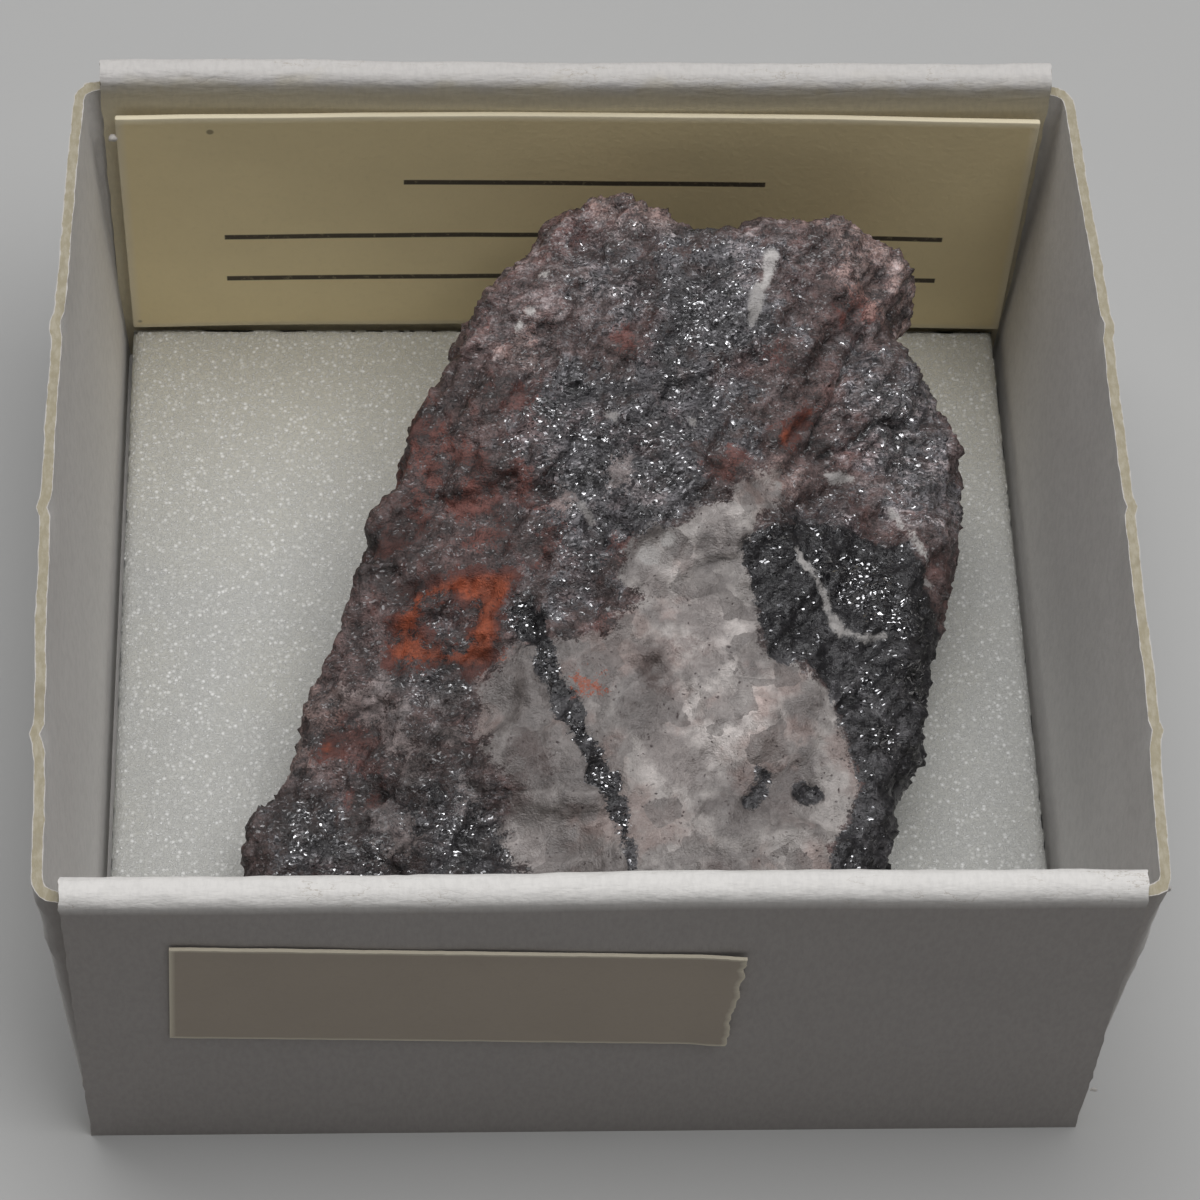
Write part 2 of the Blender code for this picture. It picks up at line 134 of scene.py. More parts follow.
CRACK_LINES = (
    ((12.7, 11.6), (11.8, 10.2), (11.2, 8.9), (10.9, 7.9), (10.3, 6.5), (9.9, 5.4)),
    ((10.4, 5.3), (11.6, 6.1), (12.4, 6.8), (12.9, 7.3), (13.7, 7.6), (15.4, 7.2)),
)
FURROW_LINE = ((-9.0, -8.4), (-7.0, -11.2), (-3.6, -12.4), (-1.0, -12.2))
PITS = (
    (2.8, -4.6, 0.6), (-5.6, -2.2, 0.4), (-9.1, -10.3, 0.3), (7.4, 5.0, 0.7), (0.8, 0.8, 0.45),
    (6.4, 3.5, 0.4),
)
SPARKLE_SPOTS = (
    (-1.7, -4.4, 0.5), (-0.5, -7.4, 0.4), (0.5, -9.5, 0.5), (1.3, -11.4, 0.3), (5.1, 10.9, 0.6),
    (6.9, 11.8, 0.5), (4.6, 9.6, 0.4), (-0.4, 13.9, 0.7), (9.0, -4.9, 0.35), (10.2, 0.2, 0.6),
    (11.6, -0.6, 0.6), (12.4, -1.8, 0.5), (8.0, 1.4, 0.5), (-2.6, -2.2, 0.5), (-1.4, 6.6, 0.8),
    (0.6, 5.6, 0.6), (11.8, -0.4, 1.3), (13.2, -1.6, 1.0), (13.6, -4.4, 0.7), (12.4, -7.4, 0.5),
    (14.0, 8.6, 0.8), (-6.0, 0.9, 0.3), (-11.9, -9.7, 0.4), (-5.6, -10.6, 0.5), (13.4, 6.9, 0.5),
    (11.6, -5.0, 0.4), (-9.0, -12.0, 0.5), (10.4, 13.8, 0.6),
)
MILK_SPOTS = (
    (3.8, -1.4, 1.3), (5.0, -3.3, 1.6), (4.8, -6.6, 1.7), (6.6, -6.6, 1.2), (3.6, -8.8, 1.2),
    (6.0, 1.4, 0.8), (-2.6, -12.0, 1.0),
)
# Painted light: spots where the hematite's colour is made lighter, as (x, y, radius)
PAINTED_LIGHT_SPOTS = (
    (-0.4, 13.5, 3.2), (1.2, 16.0, 2.2), (13.6, 7.5, 3.2), (14.4, 4.6, 2.4), (13.0, 14.0, 2.4),
    (8.0, 13.6, 2.0), (-2.6, 10.6, 2.0), (12.6, 10.6, 1.6),
)
# Painted shade: spots where the hematite's colour is made darker, as (x, y, radius)
PAINTED_SHADE_SPOTS = (
    (-12.6, -10.5, 2.6), (-6.8, -9.4, 2.8), (-9.5, -13.0, 3.0), (-5.6, -5.0, 1.2), (-8.0, 1.0, 1.8),
    (-3.6, -13.5, 2.6),
)
BROWN_SPOTS = (
    (2.8, -4.6, 0.9), (4.2, -3.8, 0.6), (7.8, -9.9, 1.0), (-2.4, -8.4, 0.9), (-3.1, -9.8, 0.8),
    (5.0, -13.4, 0.6),
)
# How far noise moves each zone's edge in and out, and how soft the edge is, in millimetres
ZONE_EDGES = {
    "metal": (3.0, 0.7), "rust": (1.3, 0.25), "ochre": (1.1, 0.14), "pink": (1.8, 0.4),
    "pale": (1.5, 0.2), "band": (1.5, 0.8), "quartz": (0.9, 0.16), "black": (0.45, 0.08),
    "white": (0.22, 0.10), "brown": (0.8, 0.5),
}
# The stone's break faces: size in millimetres and seed of each pattern
BREAKS = {"coarse": (2.3, 7.7), "medium": (1.0, 1.9), "fine": (0.46, 3.3), "shell": (2.1, 12.4)}
GRAIN_TURN = math.radians(48)
DEPTH_LIMIT = 3.0
DRIFT_SEED = 1

# Colours of single layers, linear RGB
DUST = (0.165, 0.136, 0.137)
# Painted sheen: the light grey of fine streaks on the hematite
PAINTED_SHEEN = (0.235, 0.205, 0.208)
PALE_ROCK = (0.215, 0.180, 0.175)
BROWN_STAIN = (0.115, 0.085, 0.080)
CRUSHED_QUARTZ = (0.62, 0.58, 0.56)
QUARTZ_FLECK = (0.05, 0.035, 0.035)
WORN_BLACK = (0.022, 0.021, 0.024)
WHITE_VEIN = (0.430, 0.410, 0.400)
GREY_FACE, BLACK_FACE = (0.095, 0.093, 0.099), (0.038, 0.038, 0.042)
DIM_GLINT, BRIGHT_GLINT = (0.06, 0.06, 0.065), (0.80, 0.80, 0.82)
PALE_CORE, BROWN_CORE = (0.45, 0.41, 0.32), (0.27, 0.235, 0.17)
PAPER_FIBRE = (0.48, 0.45, 0.44)
SOILED_CREASE = (0.38, 0.33, 0.27)
DARK_SPECK = (0.12, 0.10, 0.09)
# Foam colours; the yellow one is painted light bounced from the name card onto the back of the foam
DEEP_FOAM, WARM_FOAM, PAINTED_CARD_BOUNCE = (0.43, 0.43, 0.41), (0.52, 0.51, 0.45), (0.52, 0.480, 0.360)
# Painted sparkle on the foam
PAINTED_SPARKLE = (0.86, 0.86, 0.85)

# The tray's crumbs as (place, size) and its specks and the card's as (centre, radius), in millimetres
CRUMBS = (
    ((20.8, -20.32, 3.3), (0.32, 0.14, 0.2)), ((21.55, -19.35, 18.5), (0.22, 0.14, 0.3)),
    ((-20.05, 18.95, 16.8), (0.36, 0.3, 0.4)),
)
WALL_MARKS = (
    ((20.6, 2.65, 18.4), 0.2), ((20.5, 2.4, 18.2), 0.12), ((20.4, -15.6, 17.6), 0.1),
    ((-20.4, 6.0, 9.0), 0.1), ((-16.2, -20.2, 20.0), 0.09), ((-10.4, -20.5, 19.8), 0.07),
    ((-5.9, -20.4, 19.9), 0.09), ((-5.1, -20.5, 19.8), 0.06), ((9.8, -20.4, 19.9), 0.08),
    ((15.6, -20.5, 19.7), 0.07),
)
CARD_MARKS = (((-15.88, 19.0, 17.18), 0.17), ((-19.6, 19.0, 3.8), 0.14), ((12.3, 19.0, 16.1), 0.07))
# The rules on the name card as (left, right, height) in millimetres, and the label's size and tilt
CARD_RULES = ((-7.5, 8.5, 13.6), (-15.5, 16.8, 9.9), (-15.5, 16.8, 6.9))
LABEL_WIDTH, LABEL_HEIGHT = 22.1 * MM, 7.35 * MM
LABEL_TILT = math.radians(2.4)
# Edges that bend by less than this are smooth
ROUND_ANGLE = math.radians(40)
# How far the side walls stand out past the folded walls, and where along them their top is nicked
SIDE_GAP = 0.2 * MM
SIDE_NICKS = (-0.62, -0.1, 0.34)


def length(name, description, default):
    """A size property, in metres."""
    return bpy.props.FloatProperty(
        name=name, description=description, default=default, min=0.0, precision=5, unit="LENGTH",
    )


def colour(name, description, default):
    """A linear RGB colour property."""
    return bpy.props.FloatVectorProperty(
        name=name, description=description, default=default, size=3, min=0.0, max=1.0, subtype="COLOR",
    )


class StoneSettings(bpy.types.PropertyGroup):
    """Sizes and colours of the hematite lump."""

    skin_grid: length("Skin grid", "Spacing of the stone's surface mesh", 0.19 * MM)
    ledge_height: length("Ledge height", "Height of the broken ledges along the grain", 0.34 * MM)
    grain_height: length("Grain height", "Height of the crystal grains", 0.07 * MM)
    crack_depth: length("Crack depth", "Depth of the open cracks", 0.38 * MM)
    metal: colour("Metallic hematite", "Dark grey crystalline hematite", (0.082, 0.078, 0.084))
    earthy: colour("Earthy hematite", "Dull purple-brown hematite", (0.092, 0.060, 0.057))
    rust: colour("Rust", "Dark red iron oxide", (0.098, 0.034, 0.027))
    ochre: colour("Ochre", "Orange-red iron oxide", (0.340, 0.078, 0.032))
    pink: colour("Pink", "Iron-stained quartz", (0.290, 0.205, 0.185))
    quartz: colour("Quartz", "Milky white quartz", (0.430, 0.395, 0.380))
    quartz_grey: colour("Grey quartz", "Glassy grey quartz", (0.200, 0.178, 0.172))
    black: colour("Black vein", "Black crystalline hematite", (0.014, 0.013, 0.015))


class TraySettings(bpy.types.PropertyGroup):
    """Sizes and colours of the folded card tray."""

    card: length("Card thickness", "Thickness of the sheet", 0.45 * MM)
    side_drop: length("Side drop", "How far the side walls stop below the folds", 1.2 * MM)
    side_lean: length("Side lean", "How far the side walls lean out at the top", 0.85 * MM)
    side_bow: length("Side bow", "How far the side walls bulge out in the middle", 0.5 * MM)
    corner_radius: length("Corner radius", "Plan radius of the tray's corners", 0.9 * MM)
    flap_reach: length("Flap reach", "Length of the corner flaps inside the folds", 2.0 * MM)
    panel_width: length("Panel width", "Width of the folded front and back walls", 41.0 * MM)
    liner: colour("White liner", "White paper face of the card", (0.750, 0.732, 0.712))
    # The front liner is painted shade: it darkens the front wall's outside face, the side walls' front ends
    # and, faintly, the back fold
    front: colour("Front liner", "Greyer outside face of the front wall", (0.308, 0.284, 0.272))
    shade: colour("Grey liner", "Slightly greyer clouds in the liner", (0.600, 0.580, 0.570))
    aged: colour("Aged liner", "Cream face behind the name card", (0.680, 0.610, 0.430))
    core: colour("Card core", "Raw grey-cream core at the cut edges", (0.360, 0.320, 0.230))


class PadSettings(bpy.types.PropertyGroup):
    """Sizes and colours of the foam sheet."""

    grid: length("Grid", "Spacing of the foam's surface mesh", 0.25 * MM)
    cell: length("Cell size", "Size of the foam's cells", 0.135 * MM)
    edge: length("Edge rounding", "Rounding of the foam's cut edge", 0.4 * MM)
    foam: colour("Foam", "White foam", (0.475, 0.475, 0.452))


class PaperSettings(bpy.types.PropertyGroup):
    """Sizes and colours of the name card and the label."""

    card_thickness: length("Name card thickness", "Thickness of the name card", 0.28 * MM)
    card_bow: length("Name card bow", "How far the name card curves back in its middle", 0.3 * MM)
    label_thickness: length("Label thickness", "Thickness of the label", 0.14 * MM)
    rule: length("Rule width", "Width of the printed rules", 0.32 * MM)
    cream: colour("Cream card", "Cream of the name card", (0.830, 0.700, 0.415))
    # The label's dark cream is painted shade, like the front wall it sits on
    label: colour("Label paper", "Cream of the label", (0.385, 0.330, 0.270))
    edge: colour("Cut edge", "Pale cut edge of the card and the label", (0.800, 0.740, 0.590))
    ink: colour("Ink", "Dark printing ink", (0.035, 0.028, 0.022))


class StageSettings(bpy.types.PropertyGroup):
    """The camera, lights and floor."""

    camera_place: bpy.props.FloatVectorProperty(
        name="Camera place", description="Where the camera stands", size=3, unit="LENGTH",
        default=(-8.076 * MM, -93.369 * MM, 151.385 * MM), precision=5,
    )
    camera_turn: bpy.props.FloatVectorProperty(
        name="Camera turn", description="How the camera is turned", size=3, subtype="EULER", unit="ROTATION",
        default=(math.radians(33.33), math.radians(-2.44), math.radians(-1.715)),
    )
    lens: bpy.props.FloatProperty(
        name="Focal length", description="Focal length of the lens", default=120.18, min=1.0, unit="CAMERA",
    )
    floor_size: length("Floor size", "Width of the floor", 2.4)
    key_width: length("Key light width", "Width of the soft light overhead, from left to right", 0.56)
    key_depth: length("Key light depth", "Depth of the soft light overhead, from front to back", 0.26)
    key_place: bpy.props.FloatVectorProperty(
        name="Key light place", description="Where the soft light hangs", size=3, unit="LENGTH",
        default=(0.03, 0.03, 0.42), precision=3,
    )
    key_power: bpy.props.FloatProperty(
        name="Key light power", description="Power of the soft light", default=1.9, min=0.0, unit="POWER",
    )
    floor: colour("Floor", "Pale floor", (0.470, 0.470, 0.466))


# Mesh helpers


def deselect():
    """Leave edit mode and select nothing."""
    if bpy.context.object and bpy.context.object.mode != "OBJECT":
        bpy.ops.object.mode_set(mode="OBJECT")
    bpy.ops.object.select_all(action="DESELECT")


def make_active(piece):
    """Select one object alone and make it active."""
    deselect()
    piece.select_set(True)
    bpy.context.view_layer.objects.active = piece
    return piece


def settle(piece):
    """Put the object's place, turn and size into its mesh."""
    make_active(piece)
    bpy.ops.object.transform_apply(location=True, rotation=True, scale=True)
    return piece


def start_primitive(name, kind, place, size, **values):
    """Add a primitive 1 m wide, stretch it, and put its place and size into its mesh."""
    deselect()
    values |= {"radius": 0.5} if kind == "ico_sphere" else {"size": 1.0}
    getattr(bpy.ops.mesh, f"primitive_{kind}_add")(location=place, **values)
    piece = bpy.context.object
    piece.name = name
    piece.scale = size
    return settle(piece)


def apply_modifier(piece, kind, **values):
    """Add one modifier, set its values and apply it."""
    make_active(piece)
    bpy.ops.object.modifier_add(type=kind)
    modifier = piece.modifiers[-1]
    for key, value in values.items():
        setattr(modifier, key, value)
    bpy.ops.object.modifier_apply(modifier=modifier.name)


def open_edit(piece, mode="VERT"):
    """Open edit mode with the whole object selected."""
    make_active(piece)
    bpy.ops.object.mode_set(mode="EDIT")
    bpy.ops.mesh.select_mode(type=mode)
    bpy.ops.mesh.select_all(action="SELECT")


def close_edit():
    """Back to object mode."""
    bpy.ops.object.mode_set(mode="OBJECT")


def edit_edges(piece, wanted, operation, **values):
    """Run one mesh operation on the edges whose two end points pass the test."""
    open_edit(piece, "EDGE")
    bm = bmesh.from_edit_mesh(piece.data)
    for edge in bm.edges:
        edge.select_set(bool(wanted(edge.verts[0].co, edge.verts[1].co)))
    bmesh.update_edit_mesh(piece.data)
    operation(**values)
    close_edit()


def mesh_points(piece, kind="co"):
    """The object's vertices, or with "normal" their normals, as rows of numbers."""
    rows = np.empty(len(piece.data.vertices) * 3)
    piece.data.vertices.foreach_get(kind, rows)
    return rows.reshape(-1, 3)


def set_points(piece, points):
    """Put rows of numbers back as the object's vertices."""
    piece.data.vertices.foreach_set("co", points.ravel())
    piece.data.update()


def store(piece, name, values):
    """Keep one number per vertex under a name that a material can read."""
    attribute = piece.data.attributes.new(name, "FLOAT", "POINT")
    attribute.data.foreach_set("value", np.asarray(values, np.float32))


def finish_piece(piece, node, slot, *materials):
    """Give a piece its materials and its body, and hide the frame's part for its node; slot is not used."""
    if materials:
        piece.data.materials.clear()
    for material in materials:
        piece.data.materials.append(material)
    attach(piece, BODY)
    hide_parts(node)
    deselect()
    return piece


# Number helpers for the surfaces


def ramp(low, high, values):
    """0 below low, 1 above high, and a smooth rise between them."""
    t = np.clip((values - low) / (high - low), 0.0, 1.0)
    return t * t * (3.0 - 2.0 * t)


def lumps(points, size, seed, octaves=3):
    """Soft noise of about the given size at each point, from -1 to 1."""
    places = points / size + seed
    return np.array([noise.fractal(Vector(place), 0.8, 2.0, octaves) for place in places])


def drift(points, size, seed):
    """A wandering vector of length up to 1 at each point, the same in every run."""
    noise.seed_set(DRIFT_SEED)
    places = points / size + seed
    return np.array([noise.noise_vector(Vector(place)) for place in places])


def facets(points, size, seed):
    """Flat tilted break faces of about the given size, and how near each point is to a face's rim."""
    heights = np.empty(len(points))
    rims = np.empty(len(points))
    for index, row in enumerate(points / size + seed):
        place = Vector(row)
        distances, centres = noise.voronoi(place)
        tilt = noise.cell_vector(centres[0] * 9.7) * 2.0 - Vector((1.0, 1.0, 1.0))
        heights[index] = (place - centres[0]).dot(tilt)
        rims[index] = distances[1] - distances[0]
    return heights, rims


def part_distance(plan, start, end):
    """How far each point lies from one straight part of a plan line."""
    along = end - start
    part = np.clip((plan - start) @ along / (along @ along), 0.0, 1.0)
    return np.linalg.norm(plan - start - part[:, None] * along, axis=1)


def outline_depth(plan, outline):
    """How far inside a closed plan outline each point lies; negative outside."""
    corners = np.array(outline)
    inside = np.zeros(len(plan), bool)
    nearest = np.full(len(plan), np.inf)
    for start, end in zip(corners, np.roll(corners, -1, axis=0)):
        nearest = np.minimum(nearest, part_distance(plan, start, end))
        crosses = (start[1] > plan[:, 1]) != (end[1] > plan[:, 1])
        rise = end[1] - start[1] or 1e-9
        border = start[0] + (plan[:, 1] - start[1]) / rise * (end[0] - start[0])
        inside ^= crosses & (plan[:, 0] < border)
    return np.where(inside, nearest, -nearest)


def line_distance(plan, line):
    """How far each point lies from a plan line."""
    corners = np.array(line)
    return np.minimum.reduce([part_distance(plan, start, end) for start, end in zip(corners, corners[1:])])


def line_depth(plan, half_width, *lines):
    """How far inside the band along some plan lines each point lies; negative outside."""
    return half_width - np.minimum.reduce([line_distance(plan, line) for line in lines])


def spot_depth(plan, spots):
    """How far inside the nearest of some round spots each point lies; negative outside."""
    depths = [radius - np.linalg.norm(plan - (x, y), axis=1) for x, y, radius in spots]
    return np.maximum.reduce(depths)


def rim_distance(points, axes, middle, size):
    """How far inside the nearest side of a rectangle each point lies, along two axes."""
    sides = [width / 2 - np.abs(points[:, axis] - middle[axis]) for axis, width in zip(axes, size)]
    return np.minimum(*sides)


# Shader helpers


class Value:
    """A number, colour or vector in a material, which can be reckoned with like a number."""

    def __init__(self, tree, socket):
        self.tree = tree
        self.socket = socket

    def __add__(self, other):
        return calc("ADD", self, other)

    def __sub__(self, other):
        return calc("SUBTRACT", self, other)

    def __rsub__(self, other):
        return calc("SUBTRACT", other, self)

    def __mul__(self, other):
        return calc("MULTIPLY", self, other)

    def __abs__(self):
        return calc("ABSOLUTE", self)

    def scaled(self, factor):
        """The colour or vector times a number."""
        values = {0: self, "Scale": factor}
        return give(self.tree, "ShaderNodeVectorMath", values, operation="SCALE")

    def spread(self, low, high, new_low=0.0, new_high=1.0):
        """The number stretched smoothly from one range to another."""
        values = {0: self, 1: low, 2: high, 3: new_low, 4: new_high}
        return give(self.tree, "ShaderNodeMapRange", values, interpolation_type="SMOOTHSTEP")

    def part(self, axis):
        """One coordinate of a vector."""
        return give(self.tree, "ShaderNodeSeparateXYZ", {0: self}, axis)


def feed(tree, socket, value):
    """Link a value to an input, or set the input; a colour is given without its alpha."""
    if isinstance(value, Value):
        tree.links.new(value.socket, socket)
    else:
        socket.default_value = (*value, 1.0) if socket.type == "RGBA" else value


def add_node(tree, kind, values=None, **settings):
    """Add a node, set its fields, and set or link its inputs by name or number."""
    node = tree.nodes.new(kind)
    for key, value in settings.items():
        setattr(node, key, value)
    for key, value in (values or {}).items():
        feed(tree, node.inputs[key], value)
    return node


def give(tree, kind, values=None, output=0, **settings):
    """Add a node and return one of its outputs as a value."""
    return Value(tree, add_node(tree, kind, values, **settings).outputs[output])


def calc(operation, first, second=0.0, clamp=False):
    """The result of a Math node; at least one of the two is a value."""
    tree = first.tree if isinstance(first, Value) else second.tree
    return give(tree, "ShaderNodeMath", {0: first, 1: second}, operation=operation, use_clamp=clamp)


def largest(first, *others):
    """The largest of some values."""
    for other in others:
        first = calc("MAXIMUM", first, other)
    return first


def vector_calc(operation, first, second=(0.0, 0.0, 0.0)):
    """The vector result of a Vector Math node."""
    return give(first.tree, "ShaderNodeVectorMath", {0: first, 1: second}, operation=operation)


def blend(factor, first, second, kind="RGBA"):
    """Two colours, or with another kind two numbers or vectors, mixed by a factor."""
    place, output = {"FLOAT": (2, 0), "VECTOR": (4, 1), "RGBA": (6, 2)}[kind]
    values = {0: factor, place: first, place + 1: second}
    return give(factor.tree, "ShaderNodeMix", values, output, data_type=kind)


def coat(base, *layers):
    """A colour with layers laid over it one after another; each is (mask, colour)."""
    for mask, tint in layers:
        base = blend(mask, base, tint)
    return base


def clouds(place, size, detail=3.0, roughness=0.55, stretch=None):
    """Noise of about the given size in millimetres, near 0.5 on average."""
    if stretch:
        place = give(place.tree, "ShaderNodeMapping", {"Vector": place, **stretch})
    values = {"Vector": place, "Scale": 1.0 / size, "Detail": detail, "Roughness": roughness}
    return give(place.tree, "ShaderNodeTexNoise", values, "Fac")


def group_tree(name, inputs, outputs):
    """A new node group, its inputs as values, and its result node."""
    tree = bpy.data.node_groups.new(name, "ShaderNodeTree")
    for label, kind in inputs:
        tree.interface.new_socket(label, in_out="INPUT", socket_type=f"NodeSocket{kind}")
    for label, kind in outputs:
        tree.interface.new_socket(label, in_out="OUTPUT", socket_type=f"NodeSocket{kind}")
    given = tree.nodes.new("NodeGroupInput")
    values = [Value(tree, given.outputs[label]) for label, kind in inputs]
    return tree, values, tree.nodes.new("NodeGroupOutput")


def use_group(group, values):
    """Place a node group with its own values and return its outputs by name."""
    tree = next(value.tree for value in values.values() if isinstance(value, Value))
    node = add_node(tree, "ShaderNodeGroup", values, node_tree=group)
    return {socket.name: Value(tree, socket) for socket in node.outputs}


def glitter_group():
    """Tiny flat flakes, each turned its own way: a normal, and a random number for each flake."""
    name = "Turned flakes"
    if name in bpy.data.node_groups:
        return bpy.data.node_groups[name]
    tree, (place, size, tilt, normal), result = group_tree(
        name, [("Place", "Vector"), ("Flake Size", "Float"), ("Tilt", "Float"), ("Normal", "Vector")],
        [("Normal", "Vector"), ("Random", "Float"), ("Distance", "Float")],
    )
    cells = add_node(tree, "ShaderNodeTexVoronoi", {"Vector": place, "Scale": calc("DIVIDE", 1.0, size)})
    turned = vector_calc("SUBTRACT", Value(tree, cells.outputs["Color"]), (0.5, 0.5, 0.5)).scaled(tilt)
    centre = Value(tree, cells.outputs["Position"])
    found = {
        "Normal": vector_calc("NORMALIZE", vector_calc("ADD", normal, turned)),
        "Random": give(tree, "ShaderNodeTexWhiteNoise", {"Vector": centre}, "Value"),
        "Distance": Value(tree, cells.outputs["Distance"]),
    }
    for key, value in found.items():
        feed(tree, result.inputs[key], value)
    return tree


def flakes(place, size, tilt, normal=None):
    """Flakes of one size over a material: their Normal, Random and Distance."""
    values = {"Place": place, "Flake Size": size, "Tilt": tilt}
    if normal:
        values["Normal"] = normal
    return use_group(glitter_group(), values)


def zone_group():
    """A zone's ragged edge: 0 outside and 1 inside, from its depth in millimetres and some noise."""
    name = "Ragged zone edge"
    if name in bpy.data.node_groups:
        return bpy.data.node_groups[name]
    labels = ("Depth", "Raggedness", "Reach", "Softness")
    tree, (depth, ragged, reach, softness), result = group_tree(
        name, [(label, "Float") for label in labels], [("Mask", "Float")],
    )
    depth = depth + (ragged - 0.5) * reach
    feed(tree, result.inputs["Mask"], depth.spread(softness * -1.0, softness))
    return tree


def dot_mask(place, centre, radius):
    """1 inside a small round mark and 0 outside; centre and radius in millimetres."""
    values = {0: place, 1: centre}
    away = give(place.tree, "ShaderNodeVectorMath", values, "Value", operation="DISTANCE")
    return away.spread(radius * 0.6, radius * 1.2, 1.0, 0.0)


def new_material(name):
    """A material with its shader, and Object coordinates in millimetres."""
    material = bpy.data.materials.new(name)
    material.use_nodes = True
    tree = material.node_tree
    coordinates = give(tree, "ShaderNodeTexCoord", output="Object")
    return material, tree.nodes["Principled BSDF"], coordinates.scaled(1.0 / MM)


def set_shader(shader, base, **values):
    """Set or link the shader's inputs; an underscore in a name stands for a space."""
    for key, value in {"Base_Color": base, **values}.items():
        feed(base.tree, shader.inputs[key.replace("_", " ")], value)


def bump(height, depth):
    """A Bump node's normal; depth is in metres."""
    values = {"Height": height, "Distance": depth, "Strength": 1.0}
    return give(height.tree, "ShaderNodeBump", values)


def kept(place, name):
    """A number stored on the mesh under a name."""
    return give(place.tree, "ShaderNodeAttribute", output="Fac", attribute_name=name)


# The stone


def stone_zones(piece, points):
    """Work out and keep how deep each vertex lies in each colour zone, in millimetres."""
    wander = 0.55 * drift(points, 2.6, 4.1) + 0.22 * drift(points, 0.9, 8.3)
    plan = (points + wander)[:, :2]
    steady = (points + 0.12 * drift(points, 0.8, 2.2))[:, :2]
    between = plan * 0.5 + steady * 0.5
    bent = (points + 0.16 * drift(points, 1.6, 5.2) + 0.10 * drift(points, 0.5, 3.1))[:, :2]
    vein_width = 0.50 + 0.16 * lumps(points, 1.1, 6.6)
    vein_width *= 0.3 + 0.7 * ramp(-13.6, -9.4, points[:, 1])
    vein_tail = line_depth(bent, vein_width - 0.05, VEIN_TAIL)
    vein = np.maximum(line_depth(bent, vein_width, VEIN_LINE), vein_tail)
    quartz = outline_depth(between, QUARTZ_OUTLINE)
    band = outline_depth(between, BLACK_OUTLINE)
    black = np.maximum.reduce([band, spot_depth(plan, DARK_INCLUSIONS), vein])
    ring = np.minimum(outline_depth(steady, OCHRE_OUTLINE), -outline_depth(steady, OCHRE_HOLE))
    orange = line_depth(steady, 0.16, ORANGE_LINE)
    ochre = np.maximum.reduce([ring, spot_depth(steady, ORANGE_SPOTS), orange])
    white = [line_depth(steady, width, line) for width, line in WHITE_LINES]
    milk, light, painted_shade_depth = (spot_depth(plan, spots) for spots in (MILK_SPOTS, PAINTED_LIGHT_SPOTS, PAINTED_SHADE_SPOTS))
    zones = {
        "quartz": quartz, "black": black, "ochre": ochre,
        "white": np.maximum.reduce([spot_depth(steady, WHITE_SPOTS), *white]),
        "rust": np.maximum(spot_depth(steady, RUST_SPOTS), line_depth(steady, 0.22, *RED_LINES)),
        "pink": spot_depth(plan, PINK_SPOTS), "metal": spot_depth(plan, METAL_SPOTS),
        "pale": spot_depth(steady, PALE_SPOTS), "brown": spot_depth(plan, BROWN_SPOTS),
        "band": outline_depth(plan, BAND_OUTLINE), "milk": ramp(-1.0, 0.8, milk),
        "sparkle": ramp(-0.7, 0.5, spot_depth(steady, SPARKLE_SPOTS)),
        # +1 on the painted light spots and -1 on the painted shade spots
        "light": ramp(-1.0, 1.0, light) - ramp(-1.0, 1.0, painted_shade_depth),
    }
    for name, depth in zones.items():
        store(piece, name, np.clip(depth, -DEPTH_LIMIT, DEPTH_LIMIT))
    return quartz, black, vein, ochre


def stone_ledges(points):
    """Terraced ledges drawn out along the stone's grain."""
    along, across = np.array((0.67, 0.74, 0.0)), np.array((-0.74, 0.67, 0.0))
    grain = np.stack((points @ along / 2.6, points @ across / 0.8, points[:, 2] / 1.1), axis=1)
    steps = lumps(grain, 1.0, 5.2, 4) * 3.0
    level = np.floor(steps)
    return (level + ramp(0.35, 0.65, steps - level)) / 3.0


def stone_relief(points, steepness, settings, zones):
    """How far the surface stands in or out at each point, in millimetres."""
    quartz, black, vein, ochre = zones
    glassy = ramp(-0.2, 0.35, np.minimum(quartz, -black))
    coarse, _ = facets(points, *BREAKS["coarse"])
    medium, medium_rim = facets(points, *BREAKS["medium"])
    fine, fine_rim = facets(points, *BREAKS["fine"])
    shell, shell_rim = facets(points * (0.7, 0.7, 1.0), *BREAKS["shell"])
    grain_height = settings.grain_height / MM
    rough = 0.10 * medium + grain_height * fine
    rough -= 0.07 * (1.0 - ramp(0.0, 0.12, medium_rim)) + 0.03 * (1.0 - ramp(0.0, 0.1, fine_rim))
    ledges = settings.ledge_height / MM * stone_ledges(points)
    rough = ledges + 0.28 * coarse + rough * (1.0 - 0.6 * steepness)
    smooth = 0.22 * shell + 0.05 * medium + 0.02 * fine - 0.06 * (1.0 - ramp(0.0, 0.05, shell_rim))
    relief = rough * (1.0 - glassy) + smooth * glassy
    relief += grain_height * 1.2 * fine * ramp(-0.1, 0.3, black)
    relief -= 0.16 * ramp(-0.2, 0.2, spot_depth(points[:, :2], DARK_INCLUSIONS))
    relief -= 0.18 * ramp(-0.25, 0.2, vein) + 0.10 * ramp(-0.1, 0.4, ochre)
    steady = (points + 0.10 * drift(points, 0.7, 2.2))[:, :2]
    away = -line_depth(steady, 0.0, *CRACK_LINES)
    relief -= settings.crack_depth / MM * (1.0 - ramp(0.02, 0.22, away))
    relief -= 0.25 * (1.0 - ramp(0.05, 0.6, line_distance(steady, FURROW_LINE)))
    relief -= 0.5 * ramp(-0.1, 0.45, spot_depth(steady, PITS))
    return {"relief": relief, "rims": shell_rim, "crack": np.minimum(away, DEPTH_LIMIT)}


